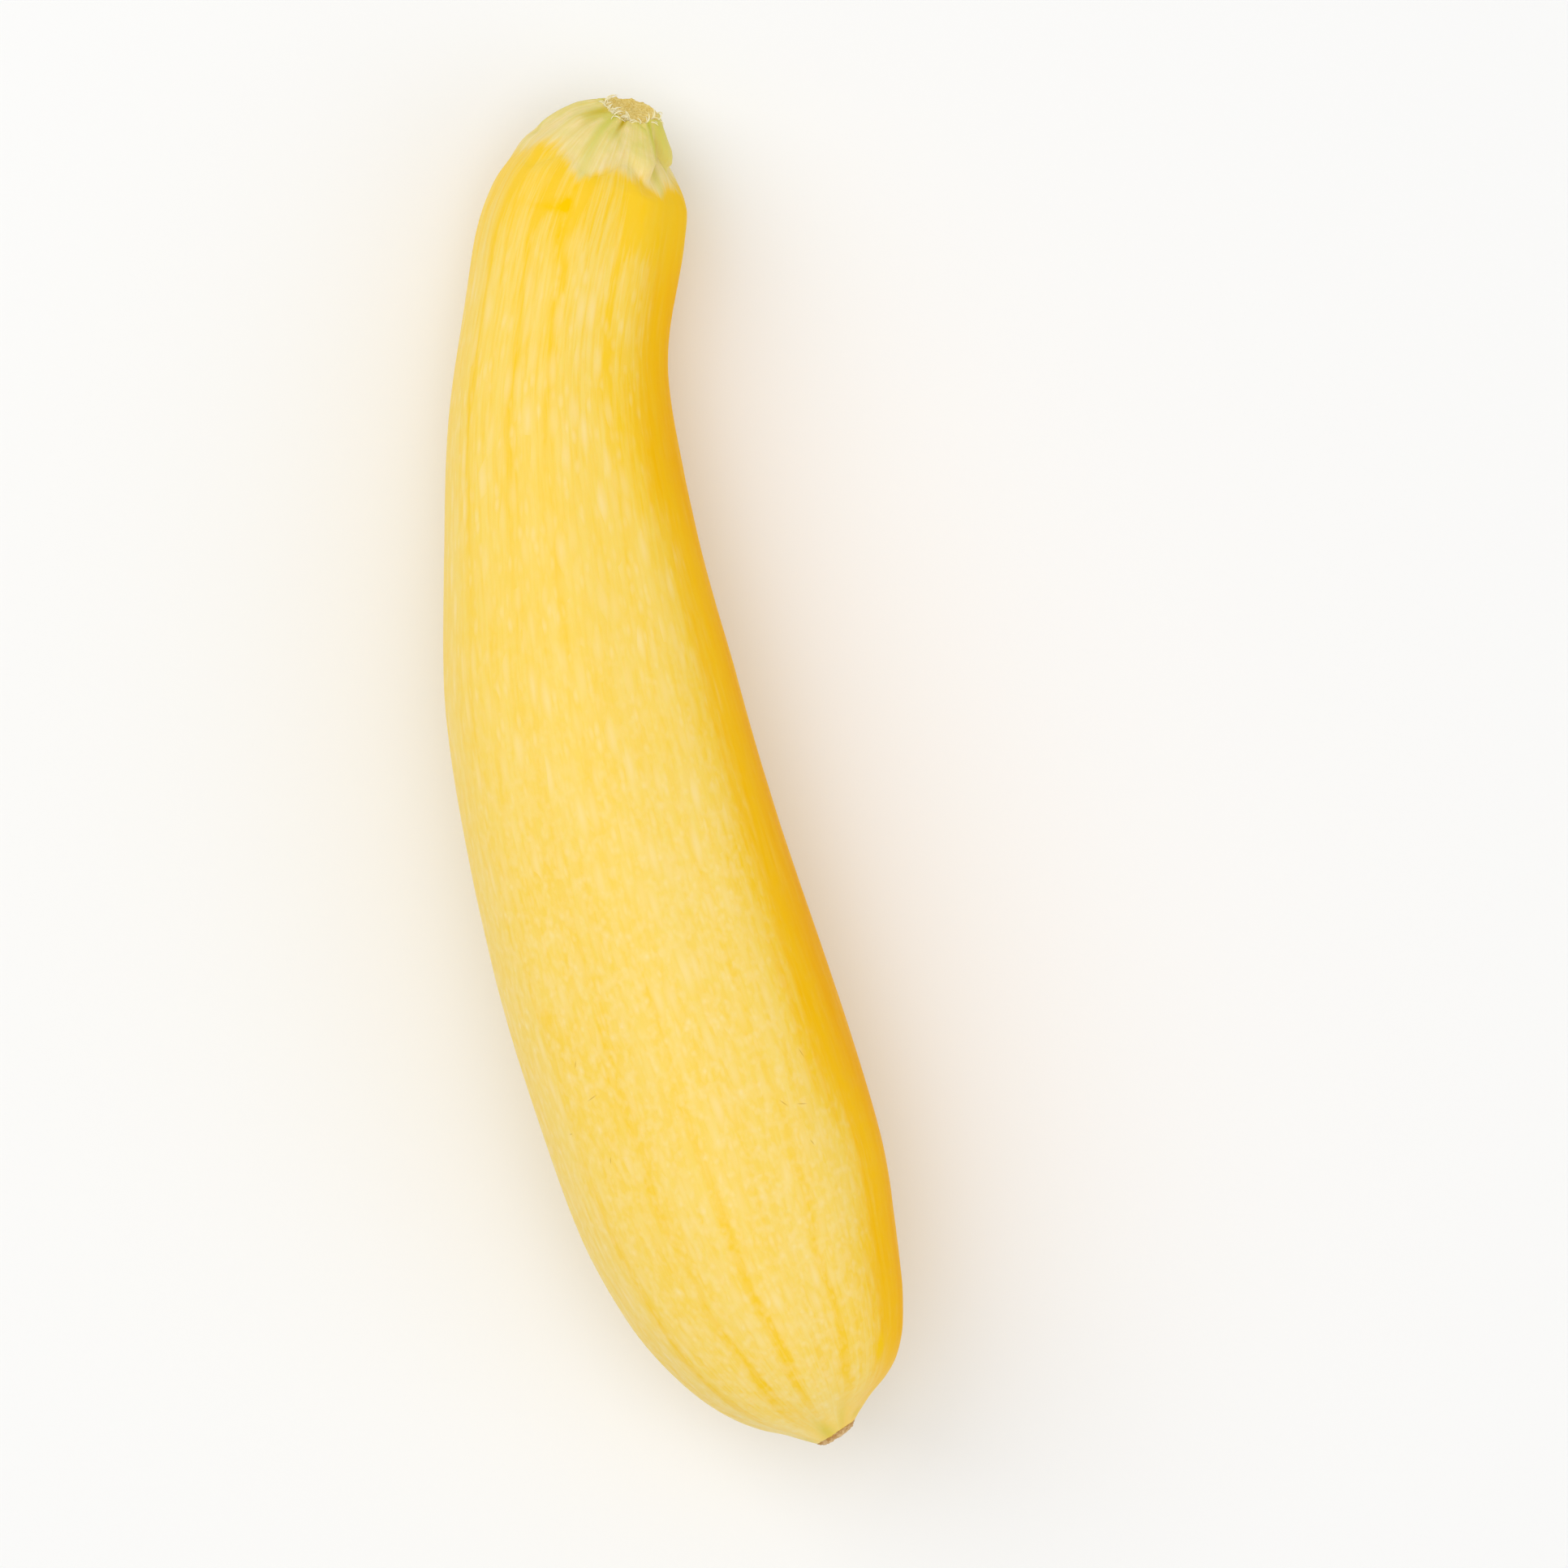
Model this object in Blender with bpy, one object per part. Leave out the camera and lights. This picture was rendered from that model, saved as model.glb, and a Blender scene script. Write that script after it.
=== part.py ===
"""A yellow summer squash with a gently bent neck, lying on its side as picked.

The fruit and the stub of its stem are two closed solids that read one and the same skin:
a spine from the blossom scar to the cut of the stem, a girth along that spine and low ribs
round it. X runs from the blossom end to the stem, Y to the outside of the bend, Z up.
The floor is at Z = 0, and the fruit rests on a flat spot under its bulb and one under its neck.
"""

import math

import bmesh
import bpy
from mathutils import Vector

MM = 0.001

# The spine in mm: X and Y from the blossom scar, Z from the floor.
SPINE = (
    (0.0, 0.0, 19.4),
    (9.0, 2.3, 19.3),
    (24.0, 6.6, 19.1),
    (45.0, 10.3, 18.95),
    (68.0, 13.8, 18.7),
    (92.0, 15.7, 17.8),
    (112.0, 15.4, 16.0),
    (132.0, 13.7, 13.6),
    (147.5, 9.4, 12.0),
    (157.0, 5.0, 12.1),
    (161.8, 2.2, 12.7),
    (165.3, -0.4, 13.4),
)
# The place of the blossom scar, in mm, that puts the middle of the whole box at X = Y = 0.
SCAR_PLACE = Vector((-83.35, -11.4, 0.0))

# Half the width of the fruit, in mm, by the distance in mm along the spine from the scar.
GIRTH = (
    (0.0, 2.8),
    (1.2, 4.3),
    (2.4, 5.8),
    (4.0, 8.2),
    (6.0, 10.4),
    (9.0, 12.6),
    (14.0, 15.0),
    (22.0, 17.5),
    (33.0, 19.35),
    (50.0, 19.85),
    (72.0, 19.25),
    (96.0, 17.9),
    (112.0, 15.9),
    (128.0, 14.1),
    (141.0, 12.7),
    (153.0, 12.6),
    (159.0, 11.7),
    (162.0, 10.6),
    (164.5, 9.2),
    (166.6, 7.8),
    (168.2, 6.4),
    (169.3, 5.1),
    (170.4, 3.7),
)
# The height of a cross-section as a share of its width: a lying fruit is a little flatter than round.
FLATNESS = 0.975

# Ribs: eight all round, one of them near the top, low on the fruit and high on the stem. Heights and
# reaches are in mm. The ridges of the stem are at full height at a share of its length, and fade to the cut.
RIB_COUNT = 8
RIB_PHASE = math.radians(4.5)
FRUIT_RIB_HEIGHT = 0.16
SCAR_RIB_HEIGHT = 0.22
SCAR_RIB_REACH = 30.0
SCAR_RIB_START = 4.0
NECK_RIB_HEIGHT = 0.30
NECK_RIB_REACH = 35.0
STEM_RIB_HEIGHT = 0.5
STEM_RIB_SHARPNESS = 1.4
STEM_RIDGE_START = 0.5
CUT_RIB_FADE = 0.5

# The seam between fruit and stem, in mm along the spine: a wave with a tongue at each rib.
SEAM = 162.5
SEAM_WAVE = 1.3
SEAM_LEAN = 2.0
SEAM_REACH = 18.0
SEAM_DOME = 1.0
GAP = 0.32

# The groove along the seam, deepest on the inside of the bend.
GROOVE_DEPTH = 1.7
GROOVE_EVEN_SHARE = 0.15
GROOVE_WIDTH = 1.6
GROOVE_ABOVE_SEAM = 0.3

# The cut of the stem: it faces a little up and to the outside of the bend.
CUT_UP_TILT = math.radians(16.0)
CUT_SIDE_TILT = math.radians(9.0)
CUT_RINGS = ((0.80, 0.15), (0.45, 0.55))
CUT_PITH_DEPTH = 0.45

# The blossom scar: a corky ring round a dimple, as radius and depth below the rim in mm.
SCAR_RINGS = ((2.35, -0.30), (1.35, 0.10))
SCAR_DIMPLE_DEPTH = 0.35

# The grid of the skin.
SEGMENTS = 64
FINEST_STEP = 0.9
COARSEST_STEP = 5.2
STEP_GROWTH = 0.22
STEM_STEPS = 8
SEAM_RINGS = (0.78, 0.45)
TANGENT_SPAN = 0.4

RIND_COLOUR = (0.94, 0.60, 0.06, 1.0)
RIND_ROUGHNESS = 0.42
STEM_COLOUR = (0.72, 0.72, 0.24, 1.0)
STEM_ROUGHNESS = 0.62
SHARP_ANGLE = math.radians(50.0)


def clear_scene():
    """Remove whatever the scene holds, so that the model stands alone."""
    for ob in list(bpy.data.objects):
        bpy.data.objects.remove(ob, do_unlink=True)


def smooth_value(knots, values, at):
    """Read a smooth curve through values at the given knots, straight on past its two ends."""
    last = len(knots) - 1
    i = 0
    while i < last - 1 and at > knots[i + 1]:
        i += 1

    def slope(k):
        before = max(k - 1, 0)
        after = min(k + 1, last)
        return (values[after] - values[before]) / (knots[after] - knots[before])

    span = knots[i + 1] - knots[i]
    t = (at - knots[i]) / span
    if t < 0.0:
        return values[i] + slope(i) * (t * span)
    if t > 1.0:
        return values[i + 1] + slope(i + 1) * ((t - 1.0) * span)
    rise = t * t * (3.0 - 2.0 * t)
    start_pull = t * (1.0 - t) ** 2 * span
    end_pull = t * t * (t - 1.0) * span
    return values[i] * (1.0 - rise) + values[i + 1] * rise + slope(i) * start_pull + slope(i + 1) * end_pull


def spine_knots(points):
    """The distance along the spine of each of its points."""
    knots = [0.0]
    for here, there in zip(points, points[1:]):
        knots.append(knots[-1] + (there - here).length)
    return knots


SPINE_POINTS = [Vector(p) + SCAR_PLACE for p in SPINE]
SPINE_KNOTS = spine_knots(SPINE_POINTS)
SPINE_LENGTH = SPINE_KNOTS[-1]
GIRTH_KNOTS = [s for s, _ in GIRTH]
GIRTH_VALUES = [r for _, r in GIRTH]


def spine_at(s):
    """The point of the spine at s mm from the scar."""
    return smooth_value(SPINE_KNOTS, SPINE_POINTS, s)


def directions_at(s):
    """The direction along the spine at s, the one to the outside of the bend and the one up."""
    along = (spine_at(s + TANGENT_SPAN) - spine_at(s - TANGENT_SPAN)).normalized()
    side = Vector((0.0, 0.0, 1.0)).cross(along).normalized()
    return along, side, along.cross(side)


def fade(distance, reach):
    """1 where the distance is 0, falling smoothly to 0 at reach."""
    t = min(max(distance / reach, 0.0), 1.0)
    return 1.0 - t * t * (3.0 - 2.0 * t)


def rib_wave(theta):
    """1 on the crest of a rib, -1 in the valley between two ribs."""
    return math.cos(RIB_COUNT * (theta - RIB_PHASE))


def fruit_rib(s, theta):
    """How far the fruit's ribs lift its skin: they are highest towards both ends."""
    height = FRUIT_RIB_HEIGHT
    height += (SCAR_RIB_HEIGHT - FRUIT_RIB_HEIGHT) * fade(s, SCAR_RIB_REACH)
    height += (NECK_RIB_HEIGHT - FRUIT_RIB_HEIGHT) * fade(SEAM - s, NECK_RIB_REACH)
    return height * rib_wave(theta) * min(s / SCAR_RIB_START, 1.0)


def stem_ridge(theta):
    """The stem's ridges are narrow, with wide furrows between them."""
    crest = (0.5 + 0.5 * rib_wave(theta)) ** STEM_RIB_SHARPNESS
    return STEM_RIB_HEIGHT * (2.0 * crest - 1.0)


def seam_at(theta):
    """The seam's place along the spine: a tongue of stem runs down each rib."""
    return SEAM - SEAM_WAVE * rib_wave(theta) - SEAM_LEAN * math.sin(theta)


def groove(s, theta):
    """The depth of the groove where the stem's foot rises from the fruit's shoulder."""
    inside = max(-math.sin(theta), 0.0)
    depth = GROOVE_DEPTH * (GROOVE_EVEN_SHARE + (1.0 - GROOVE_EVEN_SHARE) * inside)
    off = (s - seam_at(theta) - GROOVE_ABOVE_SEAM) / GROOVE_WIDTH
    return depth * math.exp(-off * off)


def ring_point(place, theta, radius):
    """A point at a radius round the spine's place, kept above the floor."""
    _, side, up = directions_at(place)
    point = spine_at(place) + side * (radius * math.sin(theta)) + up * (radius * FLATNESS * math.cos(theta))
    point.z = max(point.z, 0.0)
    return point


def fruit_point(s, theta):
    """The fruit's skin at s along the spine and the angle theta from its top."""
    radius = smooth_value(GIRTH_KNOTS, GIRTH_VALUES, s) + fruit_rib(s, theta) - groove(s, theta)
    return ring_point(s, theta, radius)


def stem_point(share, theta):
    """The stem's skin, from the seam at share 0 to the oblique cut at share 1."""
    foot = seam_at(theta) + GAP
    cut = SPINE_LENGTH - GIRTH_VALUES[-1] * (
        math.tan(CUT_UP_TILT) * math.cos(theta) + math.tan(CUT_SIDE_TILT) * math.sin(theta)
    )
    place = foot + (cut - foot) * share
    level = foot + (SPINE_LENGTH - foot) * share
    foot_rib = fruit_rib(foot, theta)
    rib = foot_rib + (stem_ridge(theta) - foot_rib) * (1.0 - fade(share, STEM_RIDGE_START))
    radius = smooth_value(GIRTH_KNOTS, GIRTH_VALUES, level) - groove(level, theta)
    return ring_point(place, theta, radius + rib * (1.0 - CUT_RIB_FADE * share))


def ring_stations(end):
    """Places along the spine for the fruit's rings: close at both ends, wide in the middle."""
    stations = [0.0]
    while stations[-1] < end:
        s = stations[-1]
        stations.append(s + min(COARSEST_STEP, FINEST_STEP + STEP_GROWTH * min(s, end - s)))
    stations[-1] = end
    return stations


def around():
    """The angles of one ring."""
    return [2.0 * math.pi * i / SEGMENTS for i in range(SEGMENTS)]


def seam_ring(share, rim, shift):
    """A ring of the bed that the stem sits on, between its centre at share 0 and the rim at 1."""
    along, _, _ = directions_at(SEAM)
    hub = spine_at(SEAM + SEAM_DOME) + along * shift
    return [hub + (point + along * shift - hub) * share for point in rim]


def add_ring(bm, points):
    """Add one ring of vertices, given in mm."""
    return [bm.verts.new(p * MM) for p in points]


def join_rings(bm, first, second):
    """Close the strip between two rings with four-sided faces."""
    for i in range(SEGMENTS):
        j = (i + 1) % SEGMENTS
        bm.faces.new((first[i], first[j], second[j], second[i]))


def close_ring(bm, ring, centre):
    """Close a ring with a fan of faces to one centre point, given in mm."""
    hub = bm.verts.new(centre * MM)
    for i in range(SEGMENTS):
        bm.faces.new((ring[i], ring[(i + 1) % SEGMENTS], hub))


def solid_from_rings(name, rings, start_centre, end_centre, material):
    """Build one closed object from rings that run from one centre point to the other."""
    bm = bmesh.new()
    made = [add_ring(bm, points) for points in rings]
    for first, second in zip(made, made[1:]):
        join_rings(bm, first, second)
    close_ring(bm, made[0], start_centre)
    close_ring(bm, made[-1], end_centre)
    bmesh.ops.recalc_face_normals(bm, faces=bm.faces[:])
    bmesh.ops.triangulate(bm, faces=bm.faces[:])
    mesh = bpy.data.meshes.new(name)
    bm.to_mesh(mesh)
    bm.free()
    mesh.shade_smooth()
    mesh.set_sharp_from_angle(angle=SHARP_ANGLE)
    mesh.materials.append(material)
    ob = bpy.data.objects.new(name, mesh)
    bpy.context.scene.collection.objects.link(ob)
    return ob


def make_material(name, colour, roughness):
    """A plain Principled material."""
    material = bpy.data.materials.new(name)
    material.use_nodes = True
    shader = material.node_tree.nodes["Principled BSDF"]
    shader.inputs["Base Color"].default_value = colour
    shader.inputs["Roughness"].default_value = roughness
    shader.inputs["Metallic"].default_value = 0.0
    return material


def scar_rings():
    """The blossom scar from its dimple out to the rim: a corky ring that stands a little proud."""
    rings = []
    for radius, depth in reversed(SCAR_RINGS):
        rings.append([ring_point(depth, theta, radius) for theta in around()])
    return rings


def make_fruit():
    """The fruit: scar, skin and the shallow domed bed under the stem."""
    rings = scar_rings()
    for s in ring_stations(SEAM):
        bend = fade(SEAM - s, SEAM_REACH)
        rings.append([fruit_point(s + (seam_at(t) - SEAM) * bend, t) for t in around()])
    rim = rings[-1]
    rings += [seam_ring(share, rim, 0.0) for share in SEAM_RINGS]
    return solid_from_rings(
        "fruit",
        rings,
        spine_at(SCAR_DIMPLE_DEPTH),
        spine_at(SEAM + SEAM_DOME),
        make_material("squash_rind", RIND_COLOUR, RIND_ROUGHNESS),
    )


def make_stem_stub():
    """The stub of the stem: its bed, ridged skin and sunken, oblique cut face."""
    fruit_rim = [fruit_point(seam_at(t), t) for t in around()]
    along, _, up = directions_at(SPINE_LENGTH)
    rings = [seam_ring(share, fruit_rim, GAP) for share in reversed(SEAM_RINGS)]
    rings += [[stem_point(i / STEM_STEPS, t) for t in around()] for i in range(STEM_STEPS + 1)]
    rim = rings[-1]
    middle = sum(rim, Vector()) / SEGMENTS
    for share, depth in CUT_RINGS:
        rings.append([middle + (point - middle) * share - along * depth for point in rim])
    return solid_from_rings(
        "stem_stub",
        rings,
        spine_at(SEAM + SEAM_DOME) + directions_at(SEAM)[0] * GAP,
        middle - along * CUT_PITH_DEPTH,
        make_material("squash_stem", STEM_COLOUR, STEM_ROUGHNESS),
    )


clear_scene()
make_fruit()
make_stem_stub()
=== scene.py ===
"""A yellow summer squash, as picked and lying on its side, dressed for the render.

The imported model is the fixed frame: X runs from the blossom end to the stem, Y to the outside of the
bend, Z up, with the floor at Z = 0. Sizes here are in millimetres, and MM turns them to metres.
"""

import logging
import math
import random
from dataclasses import dataclass
from enum import Enum

import bpy
import numpy as np
from mathutils import Euler, Matrix, Vector, noise


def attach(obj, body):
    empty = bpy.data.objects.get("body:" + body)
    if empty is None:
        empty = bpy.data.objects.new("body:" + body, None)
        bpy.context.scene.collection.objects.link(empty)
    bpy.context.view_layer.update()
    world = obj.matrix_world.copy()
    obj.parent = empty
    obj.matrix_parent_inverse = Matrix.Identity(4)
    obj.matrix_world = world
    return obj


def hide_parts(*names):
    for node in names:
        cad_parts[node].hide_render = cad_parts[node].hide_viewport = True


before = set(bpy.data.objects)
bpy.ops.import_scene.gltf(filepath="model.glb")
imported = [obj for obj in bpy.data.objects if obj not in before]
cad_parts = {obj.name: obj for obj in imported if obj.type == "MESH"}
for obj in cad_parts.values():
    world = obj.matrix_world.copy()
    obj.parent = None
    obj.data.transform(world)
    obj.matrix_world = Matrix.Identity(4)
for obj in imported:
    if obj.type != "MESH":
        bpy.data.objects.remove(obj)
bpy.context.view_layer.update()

MM = 0.001
BODY = "root"
LOG = logging.getLogger("squash")

# A Mix node that mixes colours, and the numbers of its inputs: the factor and the two colours.
COLOURS = {"data_type": "RGBA"}
FACTOR, FIRST, SECOND = 0, 6, 7

# What a Math node does with its inputs, which are numbered from 0.
ADD = {"operation": "ADD"}
MULTIPLY = {"operation": "MULTIPLY"}
MULTIPLY_ADD = {"operation": "MULTIPLY_ADD"}
LARGER = {"operation": "MAXIMUM"}
CLAMPED = {"use_clamp": True}

Span = tuple[float, float]
Triple = tuple[float, float, float]
Tree = bpy.types.NodeTree


class Node(Enum):
    """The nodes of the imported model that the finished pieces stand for."""

    FRUIT = "fruit"
    STEM = "stem_stub"


class Slot(Enum):
    """The record's material slots."""

    RIND = "rind"
    STEM = "stem"


class Chart(Enum):
    """What a pattern is drawn on: one of the skin's two charts in mm, or the object's own place."""

    MERIDIAN = "meridian.Vector"
    SKIN = "skin.Vector"
    OBJECT = "place.Object"


def linear(hex_colour: str) -> tuple[float, float, float, float]:
    """Turn an sRGB hex colour to linear values.

    Args:
        hex_colour: Six hex digits after a hash.

    Returns:
        Linear red, green and blue, and an alpha of 1.
    """
    channels = [int(hex_colour[i:i + 2], 16) / 255.0 for i in (1, 3, 5)]
    red, green, blue = [c / 12.92 if c <= 0.04045 else ((c + 0.055) / 1.055) ** 2.4 for c in channels]
    return red, green, blue, 1.0


def add_node(tree: Tree, name: str, kind: str, settings: dict | None = None,
             links: dict | None = None) -> bpy.types.Node:
    """Add one node with its settings and links.

    Args:
        tree: The node tree that takes the node.
        name: What the node holds, in a word that no other node of the tree has.
        kind: The node's type, without its ShaderNode prefix.
        settings: Values by name: a property of the node, or else the name or number of an input.
        links: What feeds each input, by its name or number: an earlier node's name, for its first
            live output, or that name, a dot and the name of an output.

    Returns:
        The new node.
    """
    node = tree.nodes.new("ShaderNode" + kind)
    node.name = node.label = name
    for key, value in (settings or {}).items():
        if isinstance(key, str) and hasattr(node, key):
            setattr(node, key, value)
        else:
            node.inputs[key].default_value = value
    for key, source in (links or {}).items():
        origin, _, output = source.partition(".")
        outputs = tree.nodes[origin].outputs
        socket = outputs[output] if output else next(live for live in outputs if live.enabled)
        tree.links.new(socket, node.inputs[key])
    return node


def add_nodes(tree: Tree, *rows: tuple[str, str, dict, dict]) -> str:
    """Add nodes in order, each from its name, type, settings and links.

    Args:
        tree: The node tree that takes the nodes.
        *rows: What add_node is given for each.

    Returns:
        The name of the last node.
    """
    for row in rows:
        last = add_node(tree, *row)
    return last.name


def new_material(name: str, fields: tuple[str, ...] = ()) -> tuple[bpy.types.Material, Tree]:
    """Make a material with the places and fields that its patterns read.

    Args:
        name: The material's name.
        fields: The names of the attributes that its piece carries.

    Returns:
        The material and its tree.
    """
    material = bpy.data.materials.new(name)
    material.use_nodes = True
    tree = material.node_tree
    tree.nodes.clear()
    add_node(tree, "place", "TexCoord")
    for field in fields:
        add_node(tree, field, "Attribute", {"attribute_name": field})
    return material, tree


def finish_material(tree: Tree, settings: dict, links: dict) -> None:
    """Add the Principled shader and the output.

    Args:
        tree: The material's tree.
        settings: The shader's constants, by socket.
        links: What feeds its other sockets.
    """
    add_node(tree, "shader", "BsdfPrincipled", settings, links)
    add_node(tree, "output", "OutputMaterial", links={"Surface": "shader"})


@dataclass(frozen=True)
class Ramp:
    """How a value is stretched from one range to another, in a straight line or softly."""

    low: float
    high: float
    to_low: float = 0.0
    to_high: float = 1.0
    soft: bool = False

    @property
    def settings(self) -> dict:
        """The ramp as the settings of a Map Range node."""
        curve = "SMOOTHSTEP" if self.soft else "LINEAR"
        return {"interpolation_type": curve, "From Min": self.low, "From Max": self.high,
                "To Min": self.to_low, "To Max": self.to_high}


@dataclass(frozen=True)
class Grain:
    """A noise of a real size: millimetres across and along its grain, and how fine it breaks up."""

    chart: Chart
    size: Span
    detail: float = 3.0
    roughness: float = 0.6
    distortion: float = 0.0

    def add(self, tree: Tree, name: str) -> str:
        """Add the noise's nodes.

        Args:
            tree: The material's tree.
            name: What the noise stands for.

        Returns:
            The name of the node that holds its value.
        """
        unit = MM if self.chart is Chart.OBJECT else 1.0
        across, along = (1.0 / (size * unit) for size in self.size)
        add_node(tree, name + "_map", "Mapping", {"Scale": (across, across, along)},
                 {"Vector": self.chart.value})
        add_node(tree, name, "TexNoise", {"Scale": 1.0, "Detail": self.detail, "Roughness": self.roughness,
                                          "Distortion": self.distortion}, {"Vector": name + "_map"})
        return name


@dataclass(frozen=True)
class Cells:
    """Scattered soft spots, each of its own strength.

    Spacing is the millimetres from spot to spot across and along the skin, reach is a spot's radius
    as a share of that, and strength is that of the strongest spots.
    """

    spacing: Span
    reach: float
    strength: float
    wobble: float = 0.35
    wobble_size: float = 1.2
    chance: Span = (0.05, 0.95)

    def add(self, tree: Tree, name: str) -> str:
        """Add the spots' nodes.

        Args:
            tree: The material's tree.
            name: What the spots stand for.

        Returns:
            The name of the node that holds their strength.
        """
        across, along = (1.0 / size for size in self.spacing)
        spot = Ramp(self.reach, 0.0, soft=True).settings
        drawn = Ramp(*self.chance, to_high=self.strength).settings
        for part, kind, settings, links in (
            ("map", "Mapping", {"Scale": (across, across, along)}, {"Vector": Chart.SKIN.value}),
            ("wobble", "TexNoise", {"Scale": self.wobble_size, "Detail": 1.0}, {"Vector": "map"}),
            ("shifted", "VectorMath", MULTIPLY_ADD | {1: (self.wobble,) * 3},
             {0: "wobble.Color", 2: "map"}),
            ("cells", "TexVoronoi", {"Scale": 1.0}, {"Vector": "shifted"}),
            ("spot", "MapRange", spot, {"Value": "cells"}),
            ("chance", "SeparateColor", {}, {"Color": "cells.Color"}),
            ("drawn", "MapRange", drawn, {"Value": "chance"}),
            ("strength", "Math", MULTIPLY, {0: "spot", 1: "drawn"}),
        ):
            own = {key: source if source == Chart.SKIN.value else f"{name}_{source}"
                   for key, source in links.items()}
            add_node(tree, f"{name}_{part}", kind, settings, own)
        return f"{name}_strength"


def smooth_values(knots: np.ndarray, values: np.ndarray, at: np.ndarray) -> np.ndarray:
    """Read a smooth curve through values at the given knots, straight on past its two ends.

    Args:
        knots: Rising places along the curve.
        values: One number or one point for each knot.
        at: The places to read.

    Returns:
        A number or a point for each place.
    """
    last = len(knots) - 1
    before = np.maximum(np.arange(last + 1) - 1, 0)
    after = np.minimum(np.arange(last + 1) + 1, last)
    wide = (slice(None), None) if values.ndim == 2 else (slice(None),)
    slopes = (values[after] - values[before]) / (knots[after] - knots[before])[wide]
    i = np.clip(np.searchsorted(knots, at, side="left") - 1, 0, last - 1)
    span = knots[i + 1] - knots[i]
    t = (at - knots[i]) / span
    inside = np.clip(t, 0.0, 1.0)
    rise = (inside * inside * (3.0 - 2.0 * inside))[wide]
    start_pull = (inside * (1.0 - inside) ** 2 * span)[wide]
    end_pull = (inside * inside * (inside - 1.0) * span)[wide]
    beyond = ((t - inside) * span)[wide]
    end_slope = np.where(beyond < 0.0, slopes[i], slopes[i + 1])
    curve = values[i] * (1.0 - rise) + values[i + 1] * rise
    return curve + slopes[i] * start_pull + slopes[i + 1] * end_pull + end_slope * beyond


def fade(distance: np.ndarray | float, reach: float) -> np.ndarray:
    """1 where the distance is 0 or less, falling smoothly to 0 at reach."""
    t = np.clip(np.asarray(distance) / reach, 0.0, 1.0)
    return 1.0 - t * t * (3.0 - 2.0 * t)


def between(low: float, high: float, share: np.ndarray) -> np.ndarray:
    """From low, where the share is 0, to high, where it is 1."""
    return low + (high - low) * share


def bell(distance: np.ndarray, width: float) -> np.ndarray:
    """A soft hump: 1 at distance 0, a third at width."""
    return np.exp(-(distance / width) ** 2)


def wrapped(theta: np.ndarray) -> np.ndarray:
    """An angle difference turned to the range from -pi to pi."""
    return (theta + math.pi) % (2.0 * math.pi) - math.pi


def ripple(points: np.ndarray, size: Triple, octaves: int = 2) -> np.ndarray:
    """Soft unevenness, the same on each run.

    Args:
        points: Where to read it, in mm.
        size: The size of its waves along each axis, in mm.
        octaves: How many finer layers it has.

    Returns:
        Values from about -1 to 1.
    """
    rows = [noise.fractal(Vector(p), 1.0, 2.0, octaves) for p in points * (1.0 / np.array(size))]
    return np.array(rows)


@dataclass(frozen=True)
class Places:
    """Where points lie on the squash: along the spine, round it and out from it.

    The angle is 0 at the top and grows to the outside of the bend.
    """

    s: np.ndarray
    theta: np.ndarray
    radius: np.ndarray


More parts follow.
